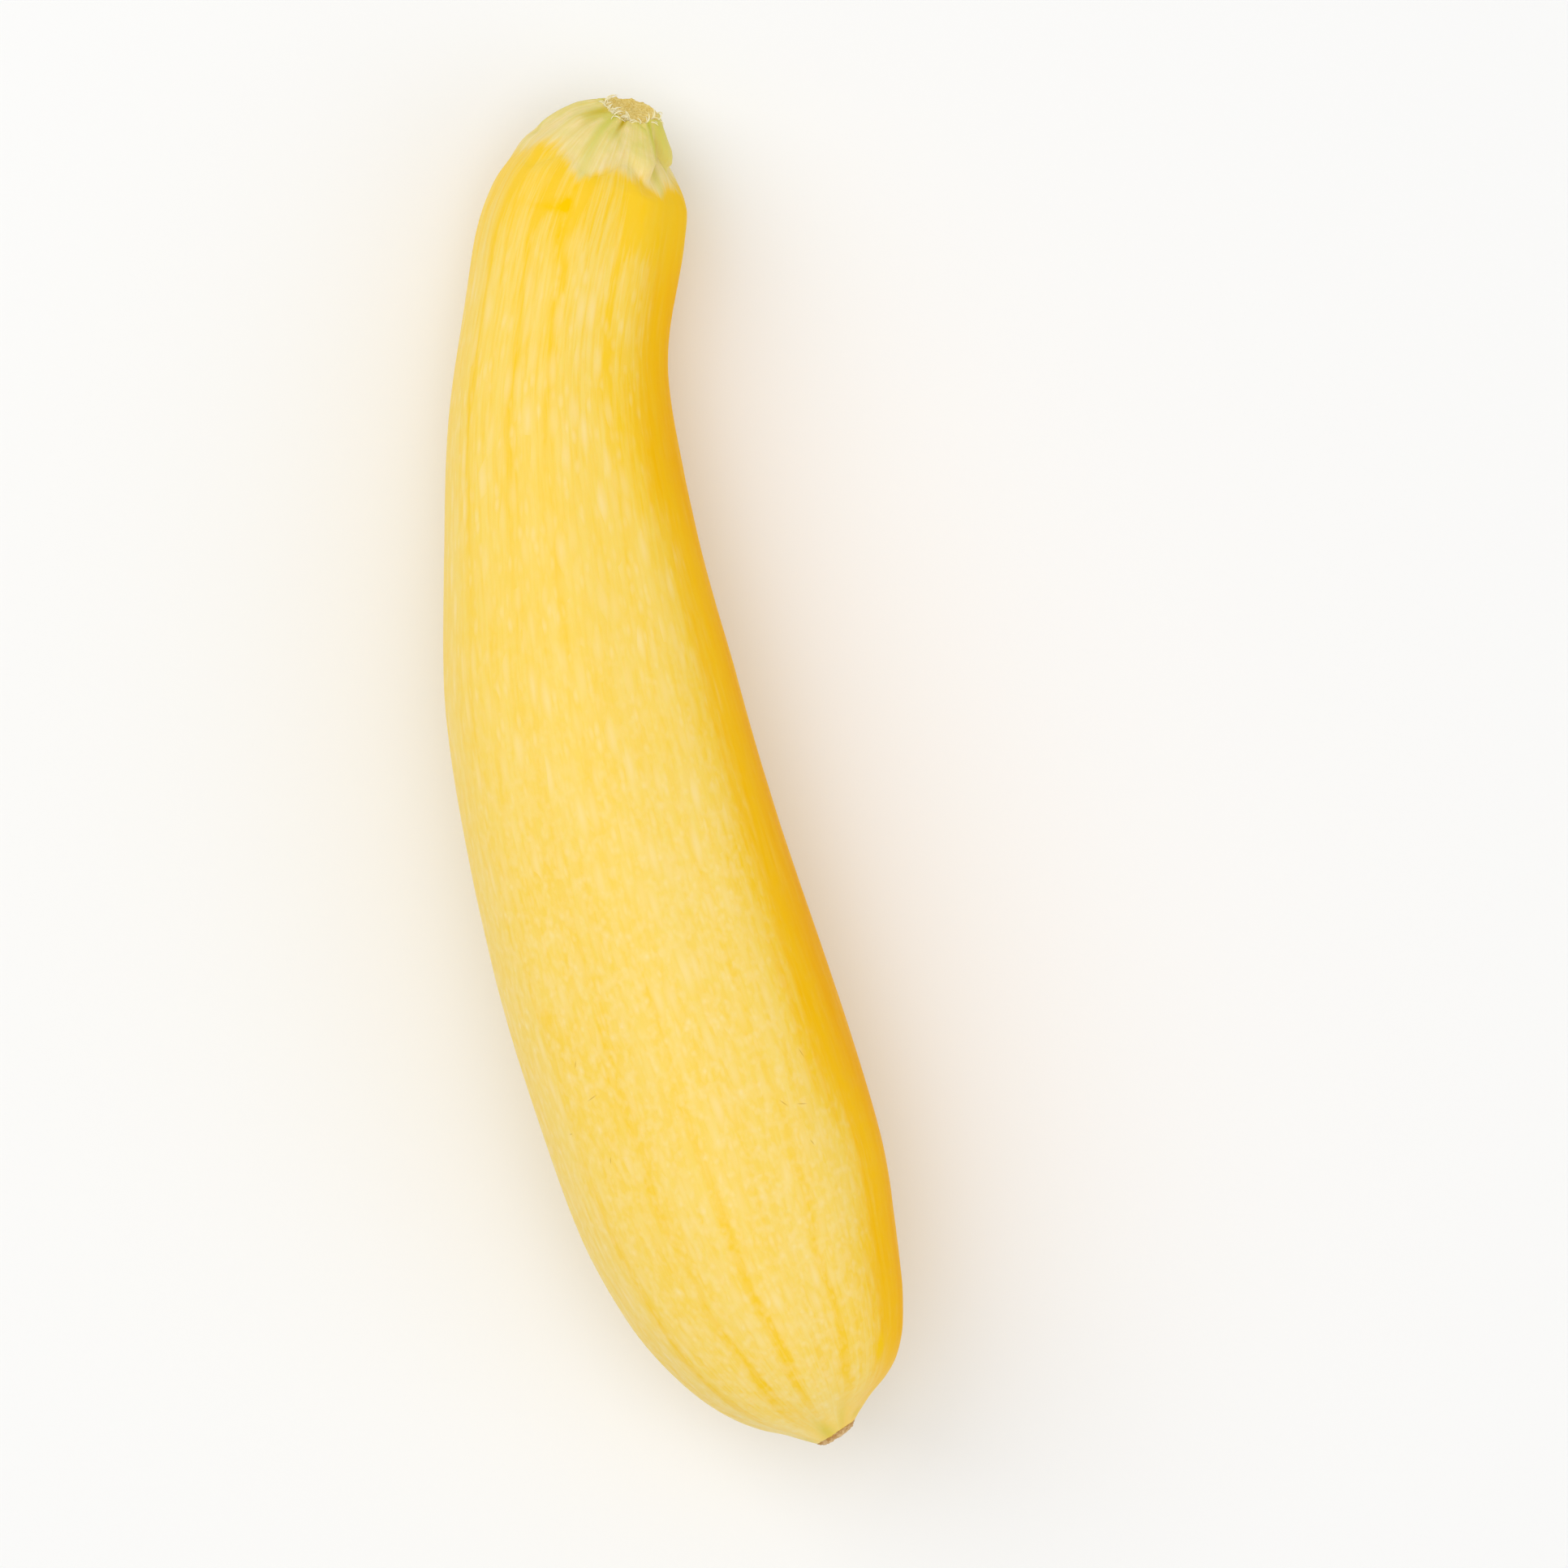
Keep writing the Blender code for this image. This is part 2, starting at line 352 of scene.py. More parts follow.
@dataclass(frozen=True)
class SquashForm:
    """The one skin of fruit and stem: a bent spine, a girth along it, ribs, and a groove at the seam."""

    spine: tuple[Triple, ...] = (
        (0.0, 0.0, 19.4), (9.0, 2.3, 19.3), (24.0, 6.6, 19.1), (45.0, 10.3, 18.95), (68.0, 13.8, 18.7),
        (92.0, 15.7, 17.8), (112.0, 15.4, 16.0), (132.0, 13.7, 13.6), (147.5, 9.4, 12.0),
        (157.0, 5.0, 12.1), (161.8, 2.2, 12.7), (165.3, -0.4, 13.4),
    )
    scar_place: Triple = (-83.35, -11.4, 0.0)
    girth: tuple[Span, ...] = (
        (0.0, 2.8), (1.2, 4.3), (2.4, 5.8), (4.0, 8.2), (6.0, 10.4), (9.0, 12.6), (14.0, 15.0),
        (22.0, 17.5), (33.0, 19.35), (50.0, 19.85), (72.0, 19.25), (96.0, 17.9), (112.0, 15.9),
        (128.0, 14.1), (141.0, 12.7), (153.0, 12.6), (159.0, 11.7), (162.0, 10.6), (164.5, 9.2),
        (166.6, 7.8), (168.2, 6.4), (169.3, 5.1), (170.4, 3.7),
    )
    flatness: float = 0.975
    rib_count: int = 8
    rib_phase: float = math.radians(4.5)
    fruit_rib: float = 0.16
    scar_rib: float = 0.22
    scar_rib_reach: float = 30.0
    scar_rib_start: float = 4.0
    neck_rib: float = 0.30
    neck_rib_reach: float = 35.0
    stem_rib: float = 0.5
    stem_rib_sharpness: float = 1.4
    stem_ridge_start: float = 0.5
    cut_rib_fade: float = 0.5
    seam: float = 162.5
    seam_wave: float = 1.3
    seam_lean: float = 2.0
    seam_reach: float = 18.0
    groove_depth: float = 1.7
    groove_even_share: float = 0.15
    groove_width: float = 1.6
    groove_above_seam: float = 0.3
    groove_rise: float = 1.5
    groove_rise_from: float = 0.6
    cut_up_tilt: float = math.radians(16.0)
    cut_side_tilt: float = math.radians(9.0)
    swell_height: float = 0.12
    swell_size: Triple = (13.0, 13.0, 26.0)
    dimple_height: float = 0.030
    dimple_size: Triple = (3.0, 3.0, 9.0)
    neck_line_height: float = 0.07
    neck_line_size: Triple = (1.6, 1.6, 14.0)
    neck_line_reach: float = 22.0
    even_near_scar: float = 6.0
    tangent_span: float = 0.4
    sampling: float = 0.25
    sampled_beyond: float = 4.0
    search_batch: int = 8000
    search_rounds: int = 3
    floor_softness: float = 0.10

    @property
    def points(self) -> np.ndarray:
        """The spine's points in the frame, in mm."""
        return np.array(self.spine) + np.array(self.scar_place)

    @property
    def knots(self) -> np.ndarray:
        """The distance along the spine of each of its points."""
        steps = np.linalg.norm(np.diff(self.points, axis=0), axis=1)
        return np.concatenate([[0.0], np.cumsum(steps)])

    @property
    def length(self) -> float:
        """The whole length of the spine, from the scar to the middle of the cut."""
        return float(self.knots[-1])

    @property
    def cut_radius(self) -> float:
        """The radius of the stem at its cut."""
        return self.girth[-1][1]

    def spine_at(self, s: np.ndarray) -> np.ndarray:
        """The spine's points at the distances s."""
        return smooth_values(self.knots, self.points, np.asarray(s, float))

    def directions(self, s: np.ndarray) -> tuple[np.ndarray, np.ndarray, np.ndarray]:
        """The directions that belong to places on the spine.

        Args:
            s: Distances along the spine.

        Returns:
            Unit vectors along the spine, to the outside of its bend and up.
        """
        along = self.spine_at(s + self.tangent_span) - self.spine_at(s - self.tangent_span)
        along /= np.linalg.norm(along, axis=1)[:, None]
        side = np.cross([0.0, 0.0, 1.0], along)
        side /= np.linalg.norm(side, axis=1)[:, None]
        return along, side, np.cross(along, side)

    def outward(self, s: np.ndarray, theta: np.ndarray) -> np.ndarray:
        """Unit vectors straight out from the spine at the angles theta."""
        _, side, up = self.directions(s)
        return side * np.sin(theta)[:, None] + up * np.cos(theta)[:, None]

    def girth_at(self, s: np.ndarray) -> np.ndarray:
        """Half the width of the squash at the distances s."""
        knots, values = np.array(self.girth).T
        return smooth_values(knots, values, np.asarray(s, float))

    def girth_of(self, s: float) -> float:
        """Half the width of the squash at one distance along the spine."""
        return float(self.girth_at(np.array([s]))[0])

    def rib_wave(self, theta: np.ndarray) -> np.ndarray:
        """1 on the crest of a rib, -1 in the valley between two ribs."""
        return np.cos(self.rib_count * (theta - self.rib_phase))

    def rib(self, s: np.ndarray, theta: np.ndarray) -> np.ndarray:
        """How far the fruit's ribs lift its skin: they are highest towards both ends.

        Args:
            s: Distances along the spine.
            theta: Angles from the top.

        Returns:
            Heights in mm, below 0 in the valleys.
        """
        height = between(self.fruit_rib, self.scar_rib, fade(s, self.scar_rib_reach))
        height = height + (self.neck_rib - self.fruit_rib) * fade(self.seam - s, self.neck_rib_reach)
        return height * self.rib_wave(theta) * np.clip(s / self.scar_rib_start, 0.0, 1.0)

    def seam_at(self, theta: np.ndarray) -> np.ndarray:
        """The seam between fruit and stem: a tongue of stem runs down each rib."""
        return self.seam - self.seam_wave * self.rib_wave(theta) - self.seam_lean * np.sin(theta)

    def groove(self, s: np.ndarray, theta: np.ndarray) -> np.ndarray:
        """The groove at the stem's foot, deepest and nearest to the cut on the inside of the bend.

        Args:
            s: Distances along the spine.
            theta: Angles from the top.

        Returns:
            Depths in mm.
        """
        inside = np.maximum(-np.sin(theta), 0.0)
        depth = self.groove_depth * between(self.groove_even_share, 1.0, inside)
        low = self.groove_rise_from
        rise = self.groove_rise * np.maximum(inside - low, 0.0) / (1.0 - low)
        return depth * bell(s - self.seam_at(theta) - self.groove_above_seam - rise, self.groove_width)

    def stem_ridge(self, theta: np.ndarray) -> np.ndarray:
        """The stem's ridges: narrow crests with wide furrows between them."""
        crest = (0.5 + 0.5 * self.rib_wave(theta)) ** self.stem_rib_sharpness
        return self.stem_rib * (2.0 * crest - 1.0)

    def cut_at(self, theta: np.ndarray) -> np.ndarray:
        """Where the oblique cut crosses the skin, along the spine."""
        lean = math.tan(self.cut_up_tilt) * np.cos(theta) + math.tan(self.cut_side_tilt) * np.sin(theta)
        return self.length - self.cut_radius * lean

    def chart(self, s: np.ndarray, theta: np.ndarray) -> np.ndarray:
        """Places on a straightened squash, in mm, for unevenness that follows the skin."""
        ring = np.stack([np.sin(theta), np.cos(theta)], axis=1) * self.girth_at(s)[:, None]
        return np.hstack([ring, s[:, None]])

    def unevenness(self, s: np.ndarray, theta: np.ndarray) -> np.ndarray:
        """The soft swells of a grown skin, and the fine lengthwise lines near the stem.

        Args:
            s: Distances along the spine.
            theta: Angles from the top.

        Returns:
            Heights in mm.
        """
        chart = self.chart(s, theta)
        height = self.swell_height * ripple(chart, self.swell_size)
        height += self.dimple_height * ripple(chart + 40.0, self.dimple_size)
        lines = self.neck_line_height * ripple(chart + 80.0, self.neck_line_size)
        height += lines * fade(self.seam - s, self.neck_line_reach)
        return height * np.clip(s / self.even_near_scar, 0.0, 1.0)

    def point(self, s: np.ndarray, theta: np.ndarray, radius: np.ndarray) -> np.ndarray:
        """Points round the spine, kept softly above the floor.

        Args:
            s: Distances along the spine.
            theta: Angles from the top.
            radius: Distances out from the spine.

        Returns:
            Points in mm.
        """
        _, side, up = self.directions(s)
        across = (radius * np.sin(theta))[:, None]
        rise = (radius * self.flatness * np.cos(theta))[:, None]
        points = self.spine_at(s) + (side * across + up * rise)
        height = points[:, 2]
        points[:, 2] = 0.5 * (height + np.sqrt(height * height + self.floor_softness ** 2))
        return points

    def locate(self, points: np.ndarray) -> Places:
        """Find where points lie on the squash.

        Args:
            points: Points in mm.

        Returns:
            Their places along, round and out from the spine.
        """
        samples = np.arange(-self.sampled_beyond, self.length + self.sampled_beyond, self.sampling)
        line = self.spine_at(samples)
        s = np.empty(len(points))
        for start in range(0, len(points), self.search_batch):
            batch = slice(start, start + self.search_batch)
            gaps = ((points[batch, None, :] - line[None, :, :]) ** 2).sum(axis=2)
            s[batch] = samples[gaps.argmin(axis=1)]
        for _ in range(self.search_rounds):
            along, _, _ = self.directions(s)
            s = s + ((points - self.spine_at(s)) * along).sum(axis=1)
        _, side, up = self.directions(s)
        out = points - self.spine_at(s)
        across = (out * side).sum(axis=1)
        rise = (out * up).sum(axis=1) / self.flatness
        return Places(s, np.arctan2(across, rise), np.hypot(across, rise))


FORM = SquashForm()


@dataclass(frozen=True)
class SkinMark:
    """A soft-edged mark on the skin: its place in mm and degrees, and its half sizes in mm."""

    s: float
    degrees: float
    length: float
    width: float

    def share_at(self, s: np.ndarray, theta: np.ndarray, radius: np.ndarray) -> np.ndarray:
        """How much of the mark reaches each place, from 0 to 1."""
        across = wrapped(theta - math.radians(self.degrees)) * radius
        return bell(s - self.s, self.length) * bell(across, self.width)


@dataclass(frozen=True)
class Dent(SkinMark):
    """A shallow dent: its depth in mm, and how much painted shade darkens its hollow, from 0 to 1."""

    depth: float
    stain: float = 0.0


@dataclass(frozen=True)
class Patch(SkinMark):
    """A patch of another colour, and its strength."""

    strength: float


@dataclass(frozen=True)
class Scratch:
    """A hairline scratch, healed to a thin brown line.

    Its middle is in mm from the scar and degrees from the top. It leans from the squash's length.
    """

    s: float
    degrees: float
    length: float
    lean: float
    width: float = 0.09


def select_nothing() -> None:
    """Leave edit mode and deselect every object."""
    if bpy.context.mode != "OBJECT":
        bpy.ops.object.mode_set(mode="OBJECT")
    bpy.ops.object.select_all(action="DESELECT")


class RingShell:
    """A closed shell drawn out ring by ring along the spine, as by hand in edit mode."""

    def __init__(self, name: str, sides: int, s: float, radius: float) -> None:
        """Add the first ring.

        Args:
            name: The object's name.
            sides: The number of vertices in a ring.
            s: The ring's place along the spine, in mm.
            radius: The ring's radius in mm.
        """
        select_nothing()
        self.s = s
        self.radius = radius
        self.heading = self._heading_at(s)
        turn = Euler((0.0, math.pi / 2, self.heading))
        bpy.ops.mesh.primitive_circle_add(
            vertices=sides, radius=radius * MM, location=self._place_at(s), rotation=turn
        )
        self.piece = bpy.context.object
        self.piece.name = self.piece.data.name = name
        bpy.ops.object.transform_apply(location=True, rotation=True, scale=True)
        bpy.ops.object.mode_set(mode="EDIT")
        bpy.ops.mesh.select_mode(type="VERT")
        bpy.ops.mesh.select_all(action="SELECT")

    @staticmethod
    def _place_at(s: float) -> Vector:
        """The spine's point at s, in metres."""
        return Vector(FORM.spine_at(np.array([s]))[0]) * MM

    @staticmethod
    def _heading_at(s: float) -> float:
        """The spine's heading at s, as an angle from X."""
        along = FORM.directions(np.array([s]))[0][0]
        return math.atan2(along[1], along[0])

    def draw_to(self, s: float, radius: float) -> None:
        """Extrude the last ring to a new place and radius.

        Args:
            s: The new place along the spine, in mm.
            radius: The new radius in mm.
        """
        centre = self._place_at(s)
        bpy.ops.mesh.extrude_region_move(TRANSFORM_OT_translate={"value": centre - self._place_at(self.s)})
        turn = self._heading_at(s) - self.heading
        bpy.ops.transform.rotate(value=-turn, orient_axis="Z", center_override=centre)
        share = radius / self.radius
        bpy.ops.transform.resize(value=(share, share, share), center_override=centre)
        self.s, self.radius, self.heading = s, radius, self.heading + turn

    def close_with(self, rings: list[Span], group: str) -> None:
        """Draw the last ring in step by step and together in one point.

        Args:
            rings: The radius of each new ring and how far it moves along the spine, in mm.
            group: The vertex group that the new vertices join.
        """
        for radius, move in rings:
            self.draw_to(self.s + move, radius)
            self._mark(group)
        bpy.ops.mesh.merge(type="CENTER")
        self._mark(group)

    def _mark(self, name: str) -> None:
        """Put the selected vertices in a vertex group.

        Args:
            name: The group's name.
        """
        groups = self.piece.vertex_groups
        group = groups.get(name) or groups.new(name=name)
        groups.active_index = group.index
        bpy.ops.object.vertex_group_assign()

    def select_ring(self, s: float) -> None:
        """Select the ring at a place along the spine.

        Args:
            s: The ring's place in mm.
        """
        same_ring = 0.05
        bpy.ops.mesh.select_all(action="DESELECT")
        bpy.ops.object.mode_set(mode="OBJECT")
        gap = np.abs(FORM.locate(points_of(self.piece)).s - s)
        for i in np.nonzero(gap < gap.min() + same_ring)[0]:
            self.piece.data.vertices[int(i)].select = True
        bpy.ops.object.mode_set(mode="EDIT")
        self.s, self.radius, self.heading = s, FORM.girth_of(s), self._heading_at(s)

    def subdivide(self, levels: int) -> bpy.types.Object:
        """Turn the faces outwards, smooth the shell and give it its fine grid.

        Args:
            levels: Levels of the Subdivision Surface modifier.

        Returns:
            The piece, in object mode.
        """
        bpy.ops.mesh.select_all(action="SELECT")
        bpy.ops.mesh.normals_make_consistent(inside=False)
        bpy.ops.object.mode_set(mode="OBJECT")
        modifier = self.piece.modifiers.new("fine_grid", "SUBSURF")
        modifier.levels = modifier.render_levels = levels
        bpy.ops.object.modifier_apply(modifier=modifier.name)
        bpy.ops.object.shade_smooth()
        return self.piece


def points_of(piece: bpy.types.Object) -> np.ndarray:
    """Read a mesh's vertices.

    Args:
        piece: The object.

    Returns:
        Points in mm.
    """
    co = np.empty(len(piece.data.vertices) * 3)
    piece.data.vertices.foreach_get("co", co)
    return co.reshape(-1, 3) / MM


def move_points(piece: bpy.types.Object, points: np.ndarray) -> None:
    """Put a mesh's vertices at new points, in mm."""
    piece.data.vertices.foreach_set("co", (points * MM).ravel())
    piece.data.update()


def weights_of(piece: bpy.types.Object, name: str) -> np.ndarray:
    """A vertex group's weights, 0 outside the group.

    Args:
        piece: The object.
        name: The group's name.

    Returns:
        One weight for each vertex.
    """
    index = piece.vertex_groups[name].index
    weights = np.zeros(len(piece.data.vertices))
    for vertex in piece.data.vertices:
        for entry in vertex.groups:
            if entry.group == index:
                weights[vertex.index] = entry.weight
    return weights


def write_field(piece: bpy.types.Object, name: str, values: np.ndarray) -> None:
    """Store one number or one vector for each vertex, for the material to read.

    Args:
        piece: The object.
        name: The attribute's name.
        values: The values, one row for each vertex.
    """
    kind, key = ("FLOAT_VECTOR", "vector") if values.ndim == 2 else ("FLOAT", "value")
    attribute = piece.data.attributes.new(name, kind, "POINT")
    attribute.data.foreach_set(key, np.ascontiguousarray(values, dtype=np.float32).ravel())


def dress(piece: bpy.types.Object, side: bpy.types.Material, end: bpy.types.Material, group: str,
          inside_group: float) -> None:
    """Give a piece one finish on its side and another on its end.

    Args:
        piece: The piece.
        side: The finish of its side.
        end: The finish of its end.
        group: The vertex group of its end.
        inside_group: The weight past which all corners of a face make it part of the end.
    """
    piece.data.materials.append(side)
    piece.data.materials.append(end)
    weights = weights_of(piece, group)
    for polygon in piece.data.polygons:
        if min(weights[i] for i in polygon.vertices) > inside_group:
            polygon.material_index = 1


@dataclass(frozen=True)
class SkinPattern:
    """Where the skin's colours lie: bands, the deep flank (its own gold with painted reflected light and
    painted shade), patches and the cream foot of the stem.

    Places are in mm from the scar and degrees from the top, and widths are in mm.
    """

    meridian_radius: float = 18.0
    patches: tuple[Patch, ...] = (
        Patch(156.3, 15.0, 0.8, 1.3, 0.95),
        Patch(155.6, 20.0, 0.6, 1.3, 0.8),
        Patch(157.0, 11.5, 0.8, 0.6, 0.8),
        Patch(155.3, 29.0, 0.5, 1.6, 0.45),
        Patch(152.5, 10.5, 5.0, 0.7, 0.85),
        Patch(159.4, 11.0, 1.8, 0.5, 0.6),
        Patch(7.8, -50.0, 1.5, 1.2, 1.3),
        Patch(4.6, 22.0, 2.4, 0.8, 0.55),
        Patch(4.4, -26.0, 2.0, 0.7, 0.5),
        Patch(19.5, -52.0, 2.4, 0.8, 0.6),
        Patch(155.0, 42.0, 5.5, 1.0, 0.45),
        Patch(157.0, 62.0, 5.0, 0.8, 0.45),
        Patch(156.0, -49.0, 7.0, 0.9, 0.8),
        Patch(158.0, -34.0, 3.0, 0.6, 0.4),
        Patch(30.0, 5.0, 1.2, 0.8, 0.5),
        Patch(60.0, 48.0, 2.0, 1.0, 0.5),
    )
    olive_patches: tuple[Patch, ...] = (
        Patch(0.8, 16.0, 1.7, 0.9, 0.6),
        Patch(1.2, -18.0, 2.0, 0.7, 0.3),
        Patch(0.8, -60.0, 0.7, 1.0, 0.35),
        Patch(0.8, 70.0, 0.7, 1.0, 0.35),
        Patch(1.4, 150.0, 1.2, 1.2, 0.5),
        Patch(1.2, -130.0, 1.0, 1.0, 0.4),
    )
    band_degrees: tuple[float, ...] = (-150.0, -105.0, -26.0, 5.5, 26.0, 52.0, 93.0, 135.0, 178.0)
    band_width: float = 0.75
    band_middle: float = 0.12
    band_ends: float = 0.56
    band_reach: float = 75.0
    band_twist: float = math.radians(4.0)
    band_twist_reach: float = 30.0
    band_wander: float = 0.7
    band_wander_radius: float = 3.0
    band_wander_length: float = 9.0
    shoulder_gold: float = 0.38
    shoulder_reach: float = 17.0
    # The flank's added gold and its reach: partly the rind's own gold, partly painted reflected light and
    # painted shade.
    flank_gold: float = 0.55
    flank_reach: float = 8.5
    brushed_least: float = 0.25
    brushed_reach: float = 55.0
    brushed_scar_reach: float = 24.0
    gold_edge: tuple[Span, ...] = (
        (4.0, -56.0), (16.0, -55.0), (25.0, -60.0), (33.5, -61.0), (46.0, -52.0), (80.0, -56.0),
        (110.0, -57.0), (124.0, -48.0), (137.0, -53.0), (151.0, -56.0), (162.0, -50.0),
    )
    gold_far_edge: float = math.radians(-128.0)
    gold_far_slope: float = 0.5
    gold_limit: float = 9.0
    gold_near_stem: float = 0.35
    gold_fade_start: float = 146.0
    gold_fade_reach: float = 14.0
    cream_edge: tuple[Span, ...] = (
        (-180.0, 161.0), (-152.0, 163.4), (-127.0, 160.8), (-100.0, 163.8), (-77.0, 163.6), (-58.0, 163.4),
        (-50.0, 161.5), (-43.0, 162.4), (-32.0, 163.2), (-22.0, 163.0), (-11.0, 163.3), (-1.0, 162.2),
        (6.0, 160.7), (13.0, 160.6), (22.0, 161.8), (31.0, 162.9), (48.0, 163.3), (64.0, 162.4),
        (80.0, 161.0), (92.0, 161.2), (112.0, 163.6), (135.0, 160.8), (158.0, 163.2), (180.0, 161.0),
    )
    halo_reach: float = 9.0
    halo_strength: float = 0.40
    dotted_least: float = 0.10
    dotted_most: float = 0.85
    dotted_below: float = 62.0
    dotted_reach: float = 60.0
    flecked_least: float = 0.12
    flecked_below: float = 140.0
    flecked_reach: float = 20.0
    flecks_kept_on_flank: float = 0.5
    flecks_kept_on_bands: float = 0.2
    crests: tuple[tuple[float, float, float, float], ...] = (
        (11.0, 21.0, 1.1, 1.0), (49.5, 52.0, 0.9, 0.35), (86.0, 100.0, 0.7, 0.7),
        (139.5, 150.0, 1.1, 0.7), (184.5, 190.0, 1.1, 0.8), (229.5, 232.0, 1.1, 0.6),
        (278.0, 286.0, 1.2, 0.75), (309.0, 309.0, 0.75, 1.0), (338.0, 332.0, 0.9, 0.35),
    )
    crest_foot: float = 0.35
    crest_below_seam: float = 0.4

    def paint(self, piece: bpy.types.Object, s: np.ndarray, theta: np.ndarray, stain: np.ndarray) -> None:
        """Store the fields that the skin's finish reads, one value for each vertex.

        Args:
            piece: The object.
            s: The vertices' places along the spine.
            theta: Their angles from the top.
            stain: How much painted shade darkens the dents.
        """
        girth = FORM.girth_at(s)
        gold = self._gold(s, theta, girth)
        band = self._bands(s, theta, girth)
        on_flank = fade(-gold, self.flank_reach)
        brushed = np.maximum(fade(FORM.seam - s, self.brushed_reach), fade(s, self.brushed_scar_reach))
        flecked = between(1.0, self.flecks_kept_on_flank, on_flank)
        flecked *= between(1.0, self.flecks_kept_on_bands, np.clip(band, 0.0, 1.0))
        flecked *= between(self.flecked_least, 1.0, fade(s - self.flecked_below, self.flecked_reach))
        near_stem = fade(s - self.gold_fade_start, self.gold_fade_reach)
        on_bulb = fade(s - self.dotted_below, self.dotted_reach)
        degrees, edge = np.array(self.cream_edge).T
        fields = {
            "meridian": self._meridian(s, theta),
            "skin": FORM.chart(s, theta),
            "gold": gold,
            "gold_strength": between(self.gold_near_stem, 1.0, near_stem),
            # On the flank the golden share rises: the rind's own gold with painted reflected light.
            "band": band + self.flank_gold * on_flank,
            "brushed": between(self.brushed_least, 1.0, brushed),
            "dotted": between(self.dotted_least, self.dotted_most, on_bulb),
            "flecked": flecked,
            "patch": sum(patch.strength * patch.share_at(s, theta, girth) for patch in self.patches),
            "olive": sum(patch.strength * patch.share_at(s, theta, girth) for patch in self.olive_patches),
            "halo": self.halo_strength * fade(s, self.halo_reach),
            "ridge": self._crest(s, theta, girth),
            "to_cut": FORM.cut_at(theta) - s,
            # Painted shade in the hollows of the stem's dents.
            "stain": stain,
            "cream": s - smooth_values(np.radians(degrees), edge, theta),
        }
        for name, values in fields.items():
            write_field(piece, name, values)

    def _meridian(self, s: np.ndarray, theta: np.ndarray) -> np.ndarray:
        """A chart of one girth all along, on which streaks keep their angle."""
        ring = np.stack([np.sin(theta), np.cos(theta)], axis=1) * self.meridian_radius
        return np.hstack([ring, s[:, None]])

    def _gold(self, s: np.ndarray, theta: np.ndarray, girth: np.ndarray) -> np.ndarray:
        """Measure how far inside the deep golden flank each place is.

        Args:
            s: Places along the spine.
            theta: Angles from the top.
            girth: Half the squash's width there.

        Returns:
            Distances in mm, below 0 outside the flank.
        """
        knots, degrees = np.array(self.gold_edge).T
        edge = np.radians(smooth_values(knots, degrees, np.clip(s, knots[0], knots[-1])))
        near_side = girth * (edge - theta)
        far_side = self.gold_far_slope * girth * (theta - self.gold_far_edge)
        return np.clip(np.minimum(near_side, far_side), -self.gold_limit, self.gold_limit)

    def _bands(self, s: np.ndarray, theta: np.ndarray, girth: np.ndarray) -> np.ndarray:
        """Draw the golden bands over the bundles that run the fruit's length, strongest at its ends.

        Args:
            s: Places along the spine.
            theta: Angles from the top.
            girth: Half the squash's width there.

        Returns:
            How golden each place is, from 0 to about 1.
        """
        radius = self.band_wander_radius
        chart = np.stack([radius * np.sin(theta), radius * np.cos(theta), s], axis=1)
        wander = self.band_wander * ripple(chart, (radius, radius, self.band_wander_length), 3) / girth
        twist = self.band_twist * fade(s, self.band_twist_reach) + wander
        band = np.zeros(len(s))
        for degrees in self.band_degrees:
            across = wrapped(theta - math.radians(degrees) - twist) * girth
            band = np.maximum(band, bell(across, self.band_width))
        towards_ends = np.maximum(fade(s, self.band_reach), fade(FORM.seam - s, self.band_reach))
        band *= between(self.band_middle, self.band_ends, towards_ends)
        return band + self.shoulder_gold * fade(FORM.seam - s, self.shoulder_reach)

    def _crest(self, s: np.ndarray, theta: np.ndarray, girth: np.ndarray) -> np.ndarray:
        """Find the green on the stem's ridges, which lean round it from their foot to the cut.

        Args:
            s: Places along the spine.
            theta: Angles from the top.
            girth: Half the squash's width there.

        Returns:
            How green each place is, from 0 to 1.
        """
        share = np.clip((s - FORM.seam) / (FORM.length - FORM.seam), -self.crest_below_seam, 1.0)
        best = np.zeros(len(s))
        for foot, tip, width, strength in self.crests:
            angle = np.radians(between(foot, tip, share))
            best = np.maximum(best, strength * bell(wrapped(theta - angle) * girth, width))
        return best * between(self.crest_foot, 1.0, np.clip(share, 0.0, 1.0))


PATTERN = SkinPattern()


